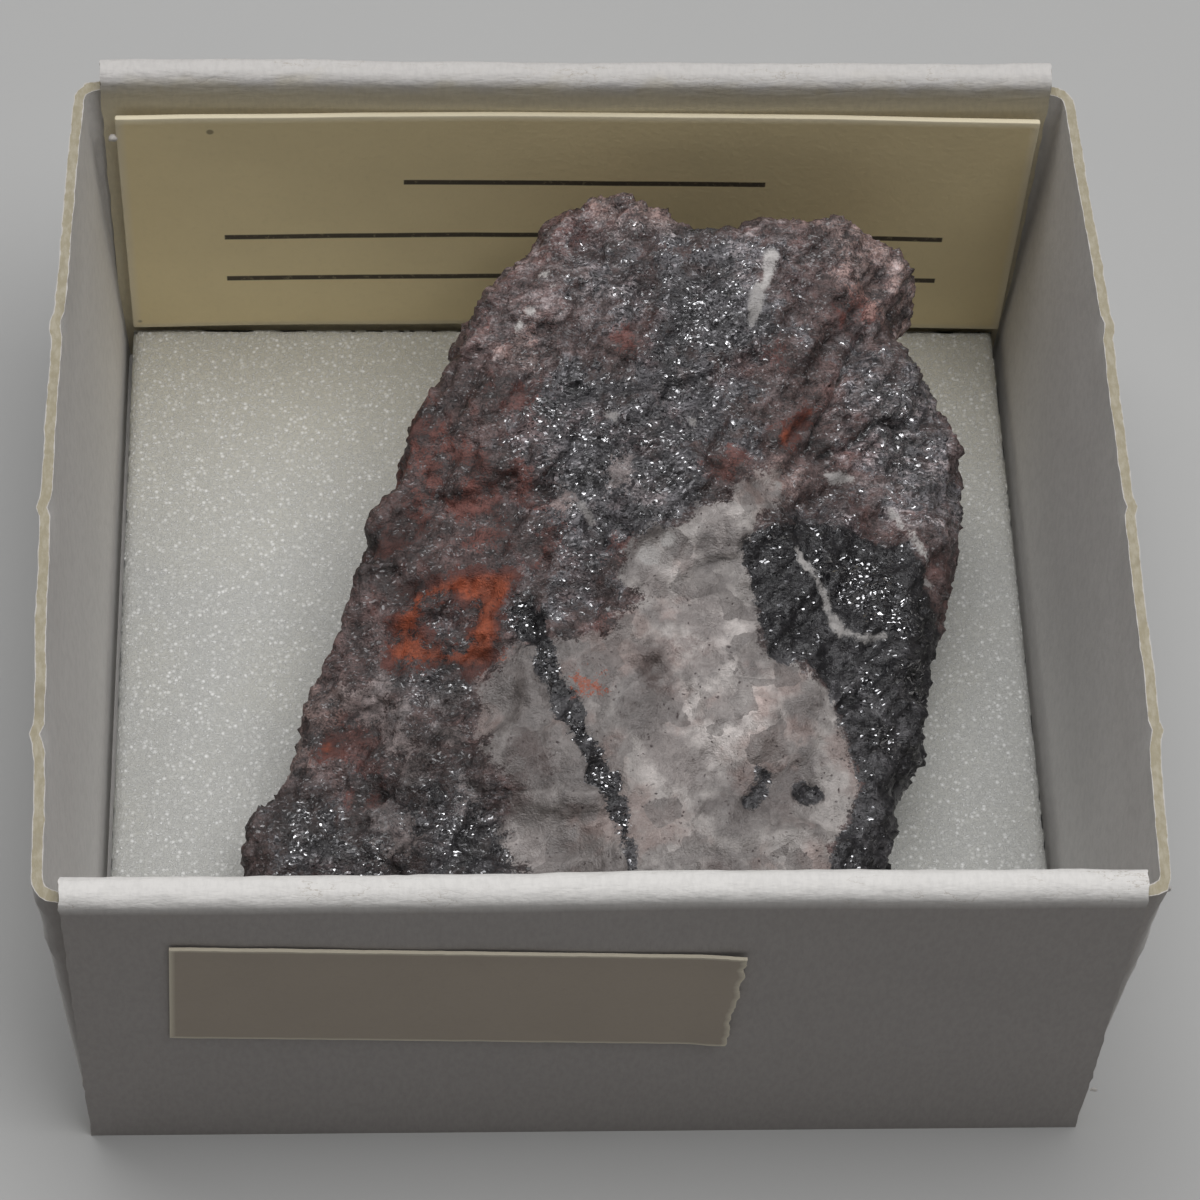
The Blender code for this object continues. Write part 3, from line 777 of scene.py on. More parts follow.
def make_stone(settings):
    """The stone: the frame's stone with a fine skin, broken ledges, grains, cracks and colour zones."""
    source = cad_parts["hematite_stone"]
    piece = bpy.data.objects.new("hematite_lump", source.data.copy())
    bpy.context.scene.collection.objects.link(piece)
    open_edit(piece)
    bpy.ops.mesh.remove_doubles(threshold=0.001 * MM)
    close_edit()
    apply_modifier(piece, "REMESH", mode="VOXEL", voxel_size=settings.skin_grid)
    apply_modifier(piece, "SMOOTH", factor=0.5, iterations=6)
    points = mesh_points(piece) / MM
    normals = mesh_points(piece, "normal")
    low, high = (np.array(corner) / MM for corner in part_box("hematite_stone"))
    steepness = ramp(0.6, 0.2, np.abs(normals[:, 2]))
    marks = stone_relief(points, steepness, settings, stone_zones(piece, points))
    for name, values in marks.items():
        store(piece, name, values)
    relief = marks["relief"]
    seated = ramp(0.0, 1.2, points[:, 2] - low[2])
    points += normals * (relief * seated)[:, None]
    points = np.clip(points, low, high)
    set_points(piece, points * MM)
    make_active(piece)
    bpy.ops.object.shade_smooth()
    return finish_piece(piece, "hematite_stone", "hematite", stone_material(settings))


def stone_fields(place):
    """The patterns, the stored numbers and the zone masks that the layers of the stone's look share."""
    turn = {"Rotation": (0.0, 0.0, GRAIN_TURN), "Scale": (0.35, 1.0, 0.8)}
    at = SimpleNamespace(
        place=place, coarse=clouds(place, 3.4, 4.0, 0.6), mottle=clouds(place, 1.1, 6.0, 0.7),
        grain=clouds(place, 0.55, 6.0, 0.72, turn), speck=clouds(place, 0.10, 2.0, 0.7),
        # +1 on the painted light spots and -1 on the painted shade spots
        light=kept(place, "light"),
    )
    at.torn = (at.mottle * 0.75 + at.speck * 0.25).spread(0.38, 0.62)
    for name, (reach, softness) in ZONE_EDGES.items():
        values = {"Depth": kept(place, name), "Raggedness": at.torn, "Reach": reach, "Softness": softness}
        setattr(at, name, use_group(zone_group(), values)["Mask"])
    wander = give(place.tree, "ShaderNodeTexNoise", {"Vector": place, "Scale": 0.9, "Detail": 3.0}, "Color")
    at.shifted = vector_calc("ADD", place, wander.scaled(0.9))
    at.rough = bump(at.grain * 0.55 + at.speck * 0.45, 0.16 * MM)
    at.blocks = flakes(at.shifted, 1.2, 0.35, at.rough)
    at.chips = flakes(at.shifted, 0.42, 0.4, at.blocks["Normal"])
    return at


def hematite_colour(at, settings):
    """Metal grey and earthy hematite with dust, rust, pink, pale and ochre patches, and painted sheen in fine
    streaks.
    """
    dusty = clouds(at.place, 1.9, 7.0, 0.7).spread(0.53, 0.64)
    turn = {"Rotation": (0.0, 0.0, math.radians(-35)), "Scale": (0.3, 1.0, 0.8)}
    # Painted sheen: fine light grey streaks, only on the painted light spots
    painted_sheen = clouds(at.place, 0.34, 5.0, 0.7, turn).spread(0.48, 0.60) * at.light.spread(0.1, 1.0)
    streaks = clouds(at.place, 0.8, 6.0, 0.7, {"Scale": (1.0, 0.4, 1.0)}).spread(0.50, 0.62)
    bright = (kept(at.place, "ochre") + at.mottle).spread(0.50, 1.1)
    base = coat(
        blend(at.metal, settings.earthy, settings.metal),
        (dusty * 0.55, DUST),
        (at.coarse.spread(0.52, 0.66, 0.0, 0.35), settings.rust),
        (painted_sheen * 0.6, PAINTED_SHEEN),
        (at.band * streaks * 0.6, settings.rust),
        (at.rust * 0.85, settings.rust),
        (at.pink * 0.35, settings.pink),
        (at.pale * 0.7, PALE_ROCK),
        (at.ochre, blend(bright, settings.rust, settings.ochre)),
    )
    stipple = (at.mottle * 0.5 + at.grain * 0.5) * 0.72 + at.speck * 0.28
    broad = clouds(at.place, 1.6, 3.0, 0.6).spread(0.38, 0.62, 0.65, 1.35)
    tone = stipple.spread(0.40, 0.61, 0.25, 1.85) * broad
    return base.scaled(blend(at.ochre * 0.6, tone, 0.85, "FLOAT"))


def quartz_colour(at, settings):
    """Milky and glassy quartz in blocks and chips, with brown stains and dark flecks."""
    milky = clouds(at.place, 3.2, 6.0, 0.55).spread(0.42, 0.56)
    tint = coat(
        blend(milky, settings.quartz_grey, settings.quartz),
        (at.place.part(0).spread(2.4, -0.6, 0.0, 0.8), settings.quartz_grey),
        (at.coarse.spread(0.5, 0.64, 0.0, 0.6), settings.pink),
        (at.brown * 0.7, BROWN_STAIN),
    )
    block = at.blocks["Random"]
    tint = tint.scaled(kept(at.place, "milk").spread(0.0, 1.0, 0.82, 1.42))
    tint = blend(block.spread(0.30, 0.24, 0.0, 0.6), tint, settings.quartz_grey)
    tint = tint.scaled(block.spread(0.0, 1.0, 0.88, 1.12))
    tint = tint.scaled(at.chips["Random"].spread(0.0, 1.0, 0.92, 1.09))
    crushed = kept(at.place, "rims").spread(0.0, 0.07, 0.3, 0.0) * at.mottle
    sugar = clouds(at.place, 0.30, 4.0, 0.7)
    tint = blend(crushed, tint, CRUSHED_QUARTZ).scaled(sugar.spread(0.36, 0.64, 0.88, 1.10))
    flecks = flakes(at.shifted, 0.27, 0.0)
    chosen = flecks["Distance"].spread(0.12, 0.28, 1.0, 0.0) * flecks["Random"].spread(0.3, 0.6)
    return blend(chosen * at.mottle.spread(0.46, 0.54) * 0.95, tint, QUARTZ_FLECK)


def black_colour(at, settings):
    """The black crystalline band and vein, greyer towards the front."""
    dark = blend(at.speck.spread(0.45, 0.65), settings.black, WORN_BLACK)
    greyer = at.place.part(1).spread(-2.0, -5.0, 0.15, 0.8) * at.mottle.spread(0.46, 0.60)
    return blend(greyer, dark, settings.metal)


def paint_light_and_shade(at, base):
    """Painted shade in the sunken parts and the cracks, and painted light and shade on the hematite's lighter
    and darker spots.
    """
    # Painted shade: darker where the relief sinks and along the open cracks
    painted_hollow_shade = kept(at.place, "relief").spread(-0.7, 0.05, 0.55, 1.0)
    painted_crack_shade = kept(at.place, "crack") + at.torn * 0.08
    base = base.scaled(painted_hollow_shade * painted_crack_shade.spread(0.05, 0.14, 0.2, 1.0))
    # Painted light and shade: the hematite lighter and darker by spots, the quartz left out
    painted_light_and_shade = at.light * (1.0 - at.quartz)
    return base.scaled(painted_light_and_shade.spread(-1.0, 1.0, 0.55, 1.42))


def stone_material(settings):
    """Grey glittering hematite, earthy and red patches, black veins and milky quartz in one skin."""
    material, shader, place = new_material("hematite and quartz")
    at = stone_fields(place)
    stain = at.ochre * at.quartz * at.speck.spread(0.4, 0.6, 0.4, 0.9)
    base = coat(
        hematite_colour(at, settings),
        (at.quartz, quartz_colour(at, settings)),
        (at.black, black_colour(at, settings)),
        (stain, settings.ochre),
        (at.white * at.grain.spread(0.38, 0.60, 0.6, 1.0), WHITE_VEIN),
    )
    base = paint_light_and_shade(at, base)

    # Crystal faces and the rarer glints, both thicker in clusters
    dusted = largest(at.rust, at.pale) * 0.5
    dull = largest(at.ochre, at.quartz, dusted, at.white)
    crystal = calc("MAXIMUM", at.metal.spread(0.0, 1.0, 0.34, 0.85) - dull, at.black, clamp=True)
    crystal = crystal * (1.0 - at.white)
    smooth = give(place.tree, "ShaderNodeNewGeometry", output="Normal")
    turn = {"Vector": at.shifted, "Rotation": (0.0, 0.0, GRAIN_TURN), "Scale": (0.6, 1.15, 1.0)}
    drawn = give(place.tree, "ShaderNodeMapping", turn)
    faces = flakes(drawn, 0.10, 1.3, smooth)
    glints = flakes(drawn, 0.085, 1.1, smooth)
    lively = kept(place, "sparkle")
    quiet = at.black * (1.0 - lively)
    clusters = clouds(place, 0.9, 3.0, 0.6).spread(0.42, 0.62, 0.97, 0.80)
    rare = blend(at.black, clusters, 0.93, "FLOAT") - lively * 0.30
    face = crystal * calc("GREATER_THAN", faces["Random"], 0.55) * quiet.spread(0.0, 1.0, 1.0, 0.45)
    glint = crystal * calc("GREATER_THAN", glints["Random"], rare)
    strength = calc("POWER", faces["Random"], 1.6) * quiet.spread(0.0, 1.0, 1.0, 0.5)
    base = coat(
        base,
        (face * 0.5, blend(at.black, GREY_FACE, BLACK_FACE)),
        (glint * 0.9, blend(strength, DIM_GLINT, BRIGHT_GLINT)),
    )
    normal = blend(at.quartz.spread(0.0, 1.0, 0.6, 1.0), at.rough, at.chips["Normal"], "VECTOR")
    normal = blend(face, normal, faces["Normal"], "VECTOR")
    normal = blend(glint, normal, glints["Normal"], "VECTOR")
    shiny = largest(face * 0.6, glint)
    sheen = largest(at.quartz, crystal)
    set_shader(
        shader, base, Roughness=sheen.spread(0.0, 1.0, 0.68, 0.42) - shiny * 0.26, Metallic=shiny * 0.9,
        Normal=vector_calc("NORMALIZE", normal), Specular_IOR_Level=0.6,
    )
    return material


# The card tray


def card_material(name, settings, raw=False):
    """White paper liner with faint fibres, small marks and painted shade on the front wall and the back fold,
    or the raw core of the cut edges.
    """
    material, shader, place = new_material(name)
    fibres = clouds(place, 0.22, 4.0, 0.65, {"Scale": (1.0, 0.45, 0.45)})
    cloudy = clouds(place, 2.6, 4.0, 0.6)
    height = fibres * 0.5 + cloudy * 0.5
    if raw:
        layer = calc("FRACT", kept(place, "across"))
        across = abs(layer - 0.5) + (fibres - 0.5) * 0.3
        base = coat(
            blend(fibres.spread(0.35, 0.7), settings.core, PALE_CORE),
            (cloudy.spread(0.55, 0.7, 0.0, 0.5), BROWN_CORE),
            (across.spread(0.40, 0.46, 0.0, 0.8), settings.shade),
        )
    else:
        base = coat(
            blend(cloudy.spread(0.3, 0.7, 0.0, 0.12), settings.liner, settings.shade),
            (fibres.spread(0.55, 0.8, 0.0, 0.2), PAPER_FIBRE),
            (kept(place, "aged") * 0.9, settings.aged),
            # Painted shade on the front wall's outside face, the side walls' front ends and the back fold
            (kept(place, "outside") * 0.9, settings.front),
        )
        crumple = clouds(place, 0.9, 5.0, 0.6, {"Scale": (0.35, 1.0, 1.0)})
        ridge = abs(crumple - 0.5)
        crease = kept(place, "crease") * ridge.spread(0.0, 0.010, 0.6, 0.0)
        specks = [(dot_mask(place, *mark) * 0.8, DARK_SPECK) for mark in WALL_MARKS]
        base = coat(base.scaled(fibres.spread(0.3, 0.7, 0.95, 1.05)), (crease, SOILED_CREASE), *specks)
        height = blend(kept(place, "fold"), height, ridge * 3.2, "FLOAT")
    normal = bump(height, (0.10 if raw else 0.045) * MM)
    set_shader(shader, base, Roughness=0.82, Normal=normal, Specular_IOR_Level=0.3)
    return material


def tray_frame():
    """The tray's centre line, half depth and fold height, from the frame."""
    low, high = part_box("card_box")
    return (low.y + high.y) / 2, (high.y - low.y) / 2, high.z


def folded_wall(name, settings, materials, front):
    """The front or back wall: the sheet folded over itself, with a crumpled round fold on top."""
    centre_y, half_depth, top = tray_frame()
    thick = 3 * settings.card
    side = -1.0 if front else 1.0
    middle = centre_y + side * (half_depth - thick / 2)
    piece = start_primitive(name, "cube", (0.0, middle, top / 2), (settings.panel_width, thick, top))
    for material in materials:
        piece.data.materials.append(material)
    for face in piece.data.polygons:
        face.material_index = int(abs(face.normal.x) > 0.9)
    edit_edges(
        piece, lambda a, b: min(a.z, b.z) > top * 0.9 and abs(a.y - b.y) < MM / 10, bpy.ops.mesh.bevel,
        offset=thick * 0.45, segments=6, profile=0.5, affect="EDGES",
    )
    across = settings.panel_width / 2
    edit_edges(piece, lambda a, b: abs(a.x - b.x) > across, bpy.ops.mesh.subdivide, number_cuts=110)
    edit_edges(piece, lambda a, b: abs(a.z - b.z) > top / 2, bpy.ops.mesh.subdivide, number_cuts=36)
    start = mesh_points(piece)
    points = start / MM
    height = points[:, 2] / (top / MM)
    seed = 3.1 if front else 21.4
    fold = ramp(0.88, 1.0, height)
    crumple = lumps(points * (0.6, 1.0, 1.0), 0.9, seed, 4)
    wave = lumps(points * (0.5, 0.0, 0.7), 6.0, seed + 4.0)
    outward = np.sign(points[:, 1] - middle / MM)
    points[:, 1] += 0.07 * wave * ramp(0.0, 0.3, height) + outward * 0.035 * crumple * fold
    points[:, 2] += fold * (0.03 * crumple + 0.06 * wave)
    if front:
        points[:, 2] -= 0.26 * fold * ramp(10.0, -6.0, points[:, 0])
    ragged = ramp(0.0, 0.4, np.abs(points[:, 0]) - settings.panel_width / 2 / MM + 0.4)
    points[:, 0] += np.sign(points[:, 0]) * ragged * 0.06 * lumps(points * (0.0, 1.0, 1.0), 0.5, seed)
    points[:, 2] = np.minimum(points[:, 2], top / MM)
    set_points(piece, points * MM)
    keep_marks(piece, {
        "fold": fold,
        "crease": fold * ramp(-0.1, 0.4, lumps(points * (0.4, 1.0, 1.0), 1.6, seed + 9.0, 4)),
        "aged": (0.0 if front else 1.0) * (outward < 0) * ramp(20.0, 19.1, points[:, 2] + 0.3 * crumple),
        # Painted shade: full on the front wall's outside face, faint on the back fold
        "outside": (outward < 0) * ramp(0.985, 0.95, height) if front else 0.35 * fold,
        "across": 1.5 + 1.48 * np.clip((start[:, 1] - middle) / (thick / 2), -1.0, 1.0),
    })
    return piece


def keep_marks(piece, marks):
    """Keep the numbers that the card materials read; those not given are 0."""
    for name in ("fold", "crease", "aged", "outside", "across"):
        store(piece, name, marks.get(name, np.zeros(len(piece.data.vertices))))


def side_place(settings):
    """How far from the tray's middle a side wall's own middle stands at its foot."""
    return settings.panel_width / 2 + SIDE_GAP - settings.card / 2


def side_path(settings):
    """The plan line of the right side wall, from its front flap to its back flap."""
    centre_y, half_depth, top = tray_frame()
    radius = settings.corner_radius
    side_x = side_place(settings)
    flap_y = half_depth - 1.5 * settings.card
    straight = flap_y - radius
    flap_parts, corner_parts, side_parts = 4, 6, 90
    points = []
    for part in range(flap_parts, 0, -1):
        points.append((side_x - radius - settings.flap_reach * part / flap_parts, -flap_y))
    for step in range(corner_parts + 1):
        angle = -math.pi / 2 + math.pi / 2 * step / corner_parts
        points.append((side_x - radius + radius * math.cos(angle), -straight + radius * math.sin(angle)))
    for step in range(1, side_parts // 2 + 1):
        points.append((side_x, -straight + 2 * straight * step / side_parts))
    return [Vector((x, y, 0.0)) for x, y in points + [(x, -y) for x, y in reversed(points[:-1])]]


def raise_side(name, settings, height):
    """The right side wall's sheet, drawn up from a point and then along its plan line."""
    path = side_path(settings)
    piece = start_primitive(name, "plane", path[0], (MM, MM, MM))
    open_edit(piece)
    bpy.ops.mesh.merge(type="CENTER")
    levels = 26
    for level in range(levels):
        bpy.ops.mesh.extrude_region_move(TRANSFORM_OT_translate={"value": (0.0, 0.0, height / levels)})
    bpy.ops.mesh.select_all(action="SELECT")
    for start, end in zip(path, path[1:]):
        bpy.ops.mesh.extrude_region_move(TRANSFORM_OT_translate={"value": end - start})
    close_edit()
    return piece


def side_wall(name, settings, materials, side):
    """A single-layer side wall with its corner flaps; side is -1 for left and +1 for right."""
    centre_y, half_depth, top = tray_frame()
    height = top - settings.side_drop
    piece = raise_side(name, settings, height)
    for material in materials:
        piece.data.materials.append(material)
    apply_modifier(piece, "SOLIDIFY", thickness=settings.card, offset=0.0, material_offset_rim=1)
    points = mesh_points(piece)
    up = points[:, 2] / height
    corner = side_place(settings) - settings.corner_radius
    reach = np.clip((points[:, 0] - corner) / (0.6 * settings.corner_radius), 0.0, 1.0)
    bow = 1.0 - (points[:, 1] / half_depth) ** 2
    points[:, 0] += reach * (settings.side_lean * up + settings.side_bow * up * bow)

    # Waves, a rough top edge, torn corners and three nicks, out from the wall
    seed = 5.5 if side < 0 else 15.5
    start = points / MM
    wave = lumps(start * (0.0, 0.6, 0.6), 7.0, seed)
    jagged = lumps(start * (0.0, 1.0, 0.0), 0.7, seed + 3.0, 4)
    points[:, 0] += reach * up * 0.12 * MM * wave
    points[:, 2] += ramp(0.9, 1.0, up) * MM * 0.03 * jagged
    ragged = lumps(start, 0.45, seed + 6.0, 4)
    points[:, 0] += ramp(0.985, 1.0, up) * MM * 0.04 * ragged * reach
    near_corner = ramp(half_depth - 1.6 * MM, half_depth - 0.8 * MM, np.abs(points[:, 1]))
    torn = np.maximum(0.0, lumps(start * (1.0, 1.0, 1.6), 0.6, seed + 12.0, 4))
    points[:, 0] += near_corner * ramp(0.45, 0.8, up) * reach * torn * 0.28 * MM
    for place in SIDE_NICKS:
        near = np.exp(-(((start[:, 1] - place * half_depth / MM) / 0.35) ** 2))
        points[:, 0] += near * ramp(0.95, 1.0, up) * 0.16 * MM * reach
    points[:, 0] *= side
    points[:, 1] += centre_y
    set_points(piece, points)
    keep_marks(piece, {
        "across": np.arange(len(points)) >= len(points) // 2,
        # Painted shade on the side wall's front end, next to the front wall
        "outside": ramp(1.3 * MM, 0.6 * MM, points[:, 1] - centre_y + half_depth),
        "crease": 0.6 * ramp(0.3, 0.6, lumps(start, 1.2, seed + 8.0)) * ramp(0.88, 1.0, up),
    })
    open_edit(piece)
    bpy.ops.mesh.normals_make_consistent(inside=False)
    close_edit()
    return piece


def base_sheet(settings, materials):
    """The bottom of the tray."""
    centre_y, half_depth, top = tray_frame()
    size = (2 * side_place(settings), 2 * half_depth - settings.card, settings.card)
    piece = start_primitive("base", "cube", (0.0, centre_y, settings.card / 2), size)
    piece.data.materials.append(materials[0])
    open_edit(piece)
    bpy.ops.mesh.bevel(offset=settings.card * 0.2, segments=2, affect="EDGES")
    close_edit()
    return piece


def make_tray(settings):
    """The tray: two folded walls, two single side walls with corner flaps, and the base."""
    liner = card_material("white card liner", settings)
    materials = (liner, card_material("raw card core", settings, raw=True))
    walls = [
        folded_wall("front", settings, materials, True), folded_wall("back", settings, materials, False),
        side_wall("left", settings, materials, -1), side_wall("right", settings, materials, 1),
    ]
    plain = [base_sheet(settings, materials)]
    for place, size in CRUMBS:
        crumb = start_primitive("crumb", "ico_sphere", Vector(place) * MM, Vector(size) * MM, subdivisions=3)
        crumb.data.materials.append(materials[1])
        points = mesh_points(crumb)
        ragged = 0.18 * max(size) * MM * lumps(points / MM, 0.25, size[0])
        set_points(crumb, points + mesh_points(crumb, "normal") * ragged[:, None])
        plain.append(crumb)
    for part in plain:
        keep_marks(part, {})
    deselect()
    for part in walls + plain:
        part.select_set(True)
    bpy.context.view_layer.objects.active = walls[2]
    bpy.ops.object.join()
    piece = bpy.context.object
    piece.name = "folded_tray"
    settle(piece)
    bpy.ops.object.shade_smooth_by_angle(angle=ROUND_ANGLE)
    return finish_piece(piece, "card_box", "white_card")


# The foam, the name card and the label


def foam_material(settings):
    """Fine-celled white foam with painted sparkle on its cell walls."""
    material, shader, place = new_material("fine white foam")
    cells = flakes(place, settings.cell / MM * 1.7, 0.0)
    soft = clouds(place, 0.3, 4.0, 0.65)
    # Painted sparkle: near-white dots on some cells and fine specks between them
    painted_glimmer = clouds(place, settings.cell / MM, 3.0, 0.75).spread(0.46, 0.68)
    dot = cells["Distance"].spread(0.0, 0.6, 1.0, 0.0) * calc("POWER", cells["Random"], 2.2)
    dot = largest(dot, painted_glimmer * 0.75)
    base = coat(
        blend(soft.spread(0.35, 0.7, 0.0, 0.6), settings.foam, DEEP_FOAM),
        (clouds(place, 5.0).spread(0.45, 0.7, 0.0, 0.3), WARM_FOAM),
        # Painted yellow light bounced from the name card, growing towards the back
        (place.part(1).spread(4.0, 20.0, 0.0, 0.5), PAINTED_CARD_BOUNCE),
        (dot, PAINTED_SPARKLE),
    )
    normal = bump(dot * 0.5 + soft * 0.5, 0.08 * MM)
    set_shader(shader, base, Roughness=0.6, Specular_IOR_Level=0.5, Normal=normal)
    return material


def make_pad(settings):
    """The foam sheet: a finely cut top with cell bumps, rounded edges and a flat bottom."""
    low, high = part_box("foam_pad")
    width, depth = high.x - low.x, high.y - low.y
    centre = (low + high) / 2
    piece = start_primitive(
        "foam_sheet", "grid", (centre.x, centre.y, high.z), (width, depth, 1.0),
        x_subdivisions=round(width / settings.grid), y_subdivisions=round(depth / settings.grid),
    )
    open_edit(piece, "EDGE")
    bpy.ops.mesh.select_all(action="DESELECT")
    bpy.ops.mesh.select_non_manifold()
    levels = 8
    for level in range(levels):
        bpy.ops.mesh.extrude_edges_move(TRANSFORM_OT_translate={"value": (0.0, 0.0, (low.z - high.z) / levels)})
    bpy.ops.mesh.edge_face_add()
    bpy.ops.mesh.select_all(action="SELECT")
    bpy.ops.mesh.normals_make_consistent(inside=False)
    close_edit()
    points = mesh_points(piece)
    inset = np.clip(settings.edge - rim_distance(points, (0, 1), centre, (width, depth)), 0.0, None)
    drop = settings.edge - np.sqrt(np.maximum(0.0, settings.edge ** 2 - inset ** 2))
    on_top = points[:, 2] > high.z - 0.01 * MM
    start = points / MM
    cells, rims = facets(start, settings.cell / MM * 1.9, 2.6)
    bumps = 0.04 * lumps(start, 0.9, 1.1) - 0.025 * (1.0 - ramp(0.0, 0.4, rims)) + 0.012 * cells
    points[:, 2] += np.where(on_top, (bumps - 0.03) * MM - drop, 0.0)
    points[:, :2] += 0.05 * MM * np.where(on_top[:, None], 0.0, drift(start, 0.6, 9.0)[:, :2])
    set_points(piece, np.clip(points, np.array(low), np.array(high)))
    bpy.ops.object.shade_smooth_by_angle(angle=math.radians(60))
    finish_piece(piece, "foam_pad", "white_foam", foam_material(settings))
    return piece


def paper_material(name, tint, rules, marks, settings):
    """Matte cream card or paper with faint fibres, a pale cut edge, printed rules and small marks.

    Each rule is (left, right, height) and each mark (centre, radius), in millimetres.
    """
    material, shader, place = new_material(name)
    fibres = clouds(place, 0.3, 4.0, 0.6)
    half = settings.rule / MM / 2
    printed = fibres * 0.0
    for left, right, height in rules:
        reach = (right - left) / 2
        across = abs(place.part(2) - height).spread(half * 0.8, half * 1.2, 1.0, 0.0)
        along = abs(place.part(0) - (left + right) / 2).spread(reach - 0.03, reach + 0.03, 1.0, 0.0)
        printed = largest(printed, across * along)
    base = coat(
        blend(clouds(place, 5.0).spread(0.35, 0.7, 0.0, 0.3), tint, [value * 0.88 for value in tint]),
        (fibres.spread(0.5, 0.8, 0.0, 0.2), [value * 0.8 for value in tint]),
        (printed * fibres.spread(0.25, 0.45, 0.75, 0.95), settings.ink),
        *[(dot_mask(place, *mark) * 0.6, settings.ink) for mark in marks],
        (kept(place, "edge") * 0.7, settings.edge),
    )
    set_shader(shader, base, Roughness=0.7, Normal=bump(fibres, 0.02 * MM), Specular_IOR_Level=0.35)
    return material


def sheet_grid(name, width, height, columns, rows, centre):
    """An upright thin sheet, facing -Y, ready to be shaped and given its thickness."""
    return start_primitive(
        name, "grid", centre, (width, height, 1.0), x_subdivisions=columns, y_subdivisions=rows,
        rotation=(math.pi / 2, 0.0, 0.0),
    )


def mark_edges(piece, width, height):
    """Keep 1 on the vertices along the sheet's rim, so that the material shows a pale cut edge."""
    points = mesh_points(piece)
    middle = (points.max(0) + points.min(0)) / 2
    rim = rim_distance(points, (0, 2), middle, (width, height))
    store(piece, "edge", 1.0 - ramp(0.03 * MM, 0.16 * MM, rim))


def make_name_card(settings):
    """The blank name card: a thin sheet curved a little back in its middle, standing on the foam."""
    low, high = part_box("name_card")
    width, height = high.x - low.x, high.z - low.z
    piece = sheet_grid("cream_name_card", width, height, 90, 36, (low + high) / 2)
    mark_edges(piece, width, height)
    points = mesh_points(piece)
    across = (points[:, 0] - (low.x + high.x) / 2) / (width / 2)
    points[:, 1] = low.y + 0.1 * MM + settings.card_bow * (1.0 - across ** 2)
    points[:, 1] += 0.04 * MM * lumps(points / MM * (1.0, 0.0, 1.0), 9.0, 3.0)
    set_points(piece, points)
    apply_modifier(piece, "SOLIDIFY", thickness=settings.card_thickness, offset=0.0)
    edge = settings.card_thickness * 0.3
    apply_modifier(piece, "BEVEL", width=edge, segments=2, limit_method="ANGLE")
    bpy.ops.object.shade_smooth_by_angle(angle=ROUND_ANGLE)
    material = paper_material("cream name card", settings.cream, CARD_RULES, CARD_MARKS, settings)
    return finish_piece(piece, "name_card", "cream_card", material)


def make_label(settings):
    """The blank number label: thin paper glued askew on the front wall, lifting a little at one end."""
    low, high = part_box("number_label")
    centre = (low + high) / 2
    wall_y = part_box("card_box")[0].y
    piece = sheet_grid("cream_number_label", LABEL_WIDTH, LABEL_HEIGHT, 90, 44, (0.0, 0.0, 0.0))
    mark_edges(piece, LABEL_WIDTH, LABEL_HEIGHT)
    points = mesh_points(piece)
    along, up = points[:, 0] / LABEL_WIDTH, points[:, 2] / LABEL_HEIGHT
    lift = ramp(0.42, 0.5, along) + 0.6 * ramp(0.35, 0.5, up)
    points[:, 1] = -0.09 * MM - 0.09 * MM * lift
    torn = ramp(0.44, 0.5, along) * lumps(points / MM * (0.0, 1.0, 1.0), 0.8, 2.7, 4)
    points[:, 0] += 0.15 * MM * torn
    points[:, 2] += 0.03 * MM * lumps(points / MM, 0.8, 7.1, 4) * ramp(0.4, 0.5, np.abs(up))
    turned = points.copy()
    turned[:, 0] = points[:, 0] * math.cos(LABEL_TILT) + points[:, 2] * math.sin(LABEL_TILT)
    turned[:, 2] = points[:, 2] * math.cos(LABEL_TILT) - points[:, 0] * math.sin(LABEL_TILT)
    set_points(piece, turned + (centre.x, wall_y, centre.z))
    apply_modifier(piece, "SOLIDIFY", thickness=settings.label_thickness, offset=0.0)
    bpy.ops.object.shade_smooth_by_angle(angle=ROUND_ANGLE)
    # The label paper's colour holds painted shade
    material = paper_material("cream number label", settings.label, (), (), settings)
    return finish_piece(piece, "number_label", "cream_paper", material)


# The stage


def make_stage(settings):
    """A pale floor, soft light from above, and the photograph's camera."""
    floor = start_primitive("floor", "plane", (0.0, 0.0, 0.0), (settings.floor_size, settings.floor_size, 1.0))
    material, shader, place = new_material("pale floor")
    cloudy = clouds(place, 60.0).spread(0.3, 0.7)
    darker = [value * 0.97 for value in settings.floor]
    set_shader(shader, blend(cloudy, settings.floor, darker), Roughness=0.85)
    floor.data.materials.append(material)
    deselect()
    bpy.ops.object.light_add(type="AREA", location=settings.key_place)
    light = bpy.context.object
    light.name = "key light"
    light.data.shape = "RECTANGLE"
    light.data.size = settings.key_width
    light.data.size_y = settings.key_depth
    light.data.energy = settings.key_power
    light.rotation_euler = (-Vector(settings.key_place)).to_track_quat("-Z", "Y").to_euler()
    world = bpy.data.worlds.new("soft room")
    world.use_nodes = True
    world.node_tree.nodes["Background"].inputs["Color"].default_value = (1.0, 1.0, 1.0, 1.0)
    world.node_tree.nodes["Background"].inputs["Strength"].default_value = 0.08
    bpy.context.scene.world = world
    bpy.context.scene.view_settings.view_transform = "Standard"
    bpy.ops.object.camera_add(location=settings.camera_place, rotation=Euler(settings.camera_turn))
    camera = bpy.context.object
    camera.data.lens = settings.lens
    camera.data.sensor_width = 36.0
    camera.data.clip_start = 0.01
    bpy.context.scene.camera = camera
    deselect()


class SPECIMEN_OT_stone(bpy.types.Operator):
    """Build the hematite lump"""

    bl_idname = "specimen.stone"
    bl_label = "Hematite lump"

    def execute(self, context):
        make_stone(context.scene.specimen_stone)
        return {"FINISHED"}


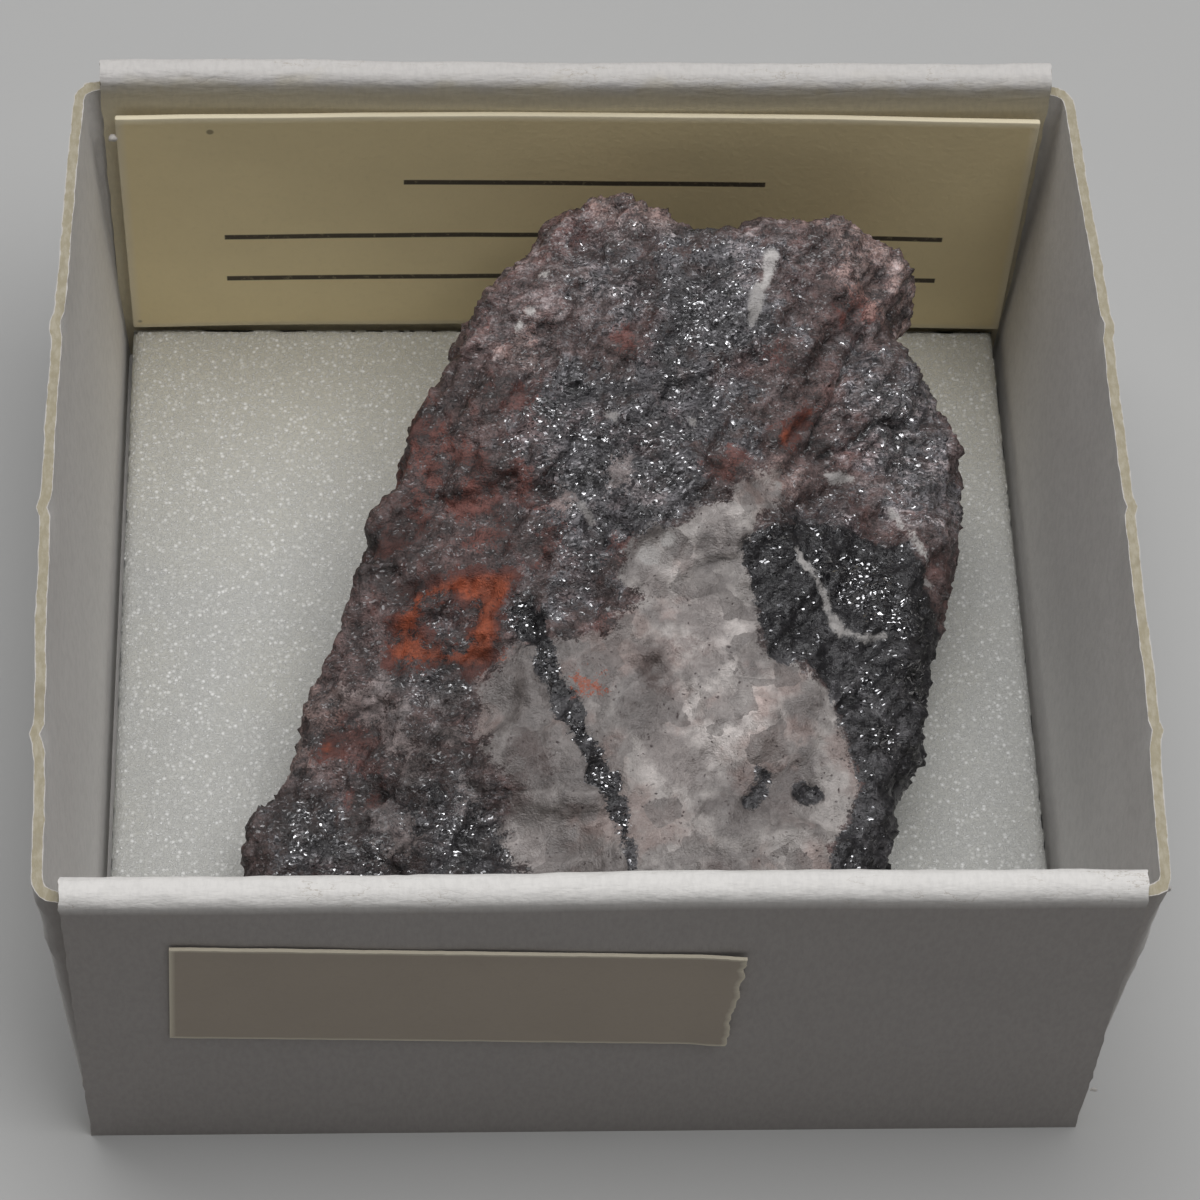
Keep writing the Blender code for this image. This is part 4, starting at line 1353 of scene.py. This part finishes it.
class SPECIMEN_OT_tray(bpy.types.Operator):
    """Build the folded card tray"""

    bl_idname = "specimen.tray"
    bl_label = "Card tray"

    def execute(self, context):
        make_tray(context.scene.specimen_tray)
        return {"FINISHED"}


class SPECIMEN_OT_pad(bpy.types.Operator):
    """Build the foam sheet"""

    bl_idname = "specimen.pad"
    bl_label = "Foam sheet"

    def execute(self, context):
        make_pad(context.scene.specimen_pad)
        return {"FINISHED"}


class SPECIMEN_OT_papers(bpy.types.Operator):
    """Build the name card and the number label"""

    bl_idname = "specimen.papers"
    bl_label = "Name card and label"

    def execute(self, context):
        make_name_card(context.scene.specimen_paper)
        make_label(context.scene.specimen_paper)
        return {"FINISHED"}


class SPECIMEN_OT_stage(bpy.types.Operator):
    """Build the floor, the lights and the camera"""

    bl_idname = "specimen.stage"
    bl_label = "Stage"

    def execute(self, context):
        make_stage(context.scene.specimen_stage)
        return {"FINISHED"}


class SPECIMEN_PT_panel(bpy.types.Panel):
    """Lists the steps of the specimen"""

    bl_label = "Specimen"
    bl_idname = "SPECIMEN_PT_panel"
    bl_space_type = "VIEW_3D"
    bl_region_type = "UI"
    bl_category = "Specimen"

    def draw(self, context):
        for operator in OPERATORS:
            self.layout.operator(operator.bl_idname)
        for name, group in SETTINGS.items():
            box = self.layout.box()
            box.label(text=group.__doc__)
            for key in group.__annotations__:
                box.prop(getattr(context.scene, name), key)


OPERATORS = (SPECIMEN_OT_stone, SPECIMEN_OT_tray, SPECIMEN_OT_pad, SPECIMEN_OT_papers, SPECIMEN_OT_stage)
SETTINGS = {
    "specimen_stone": StoneSettings, "specimen_tray": TraySettings, "specimen_pad": PadSettings,
    "specimen_paper": PaperSettings, "specimen_stage": StageSettings,
}


def register():
    """Add the settings, the operators and the panel to Blender."""
    for name, group in SETTINGS.items():
        bpy.utils.register_class(group)
        setattr(bpy.types.Scene, name, bpy.props.PointerProperty(type=group))
    for cls in (*OPERATORS, SPECIMEN_PT_panel):
        bpy.utils.register_class(cls)


def unregister():
    """Take them away again."""
    for cls in reversed((*OPERATORS, SPECIMEN_PT_panel)):
        bpy.utils.unregister_class(cls)
    for name, group in SETTINGS.items():
        delattr(bpy.types.Scene, name)
        bpy.utils.unregister_class(group)


def main():
    """Build everything in order."""
    register()
    bpy.ops.specimen.stone()
    bpy.ops.specimen.tray()
    bpy.ops.specimen.pad()
    bpy.ops.specimen.papers()
    bpy.ops.specimen.stage()
    bpy.context.view_layer.update()


if __name__ == "__main__":
    main()
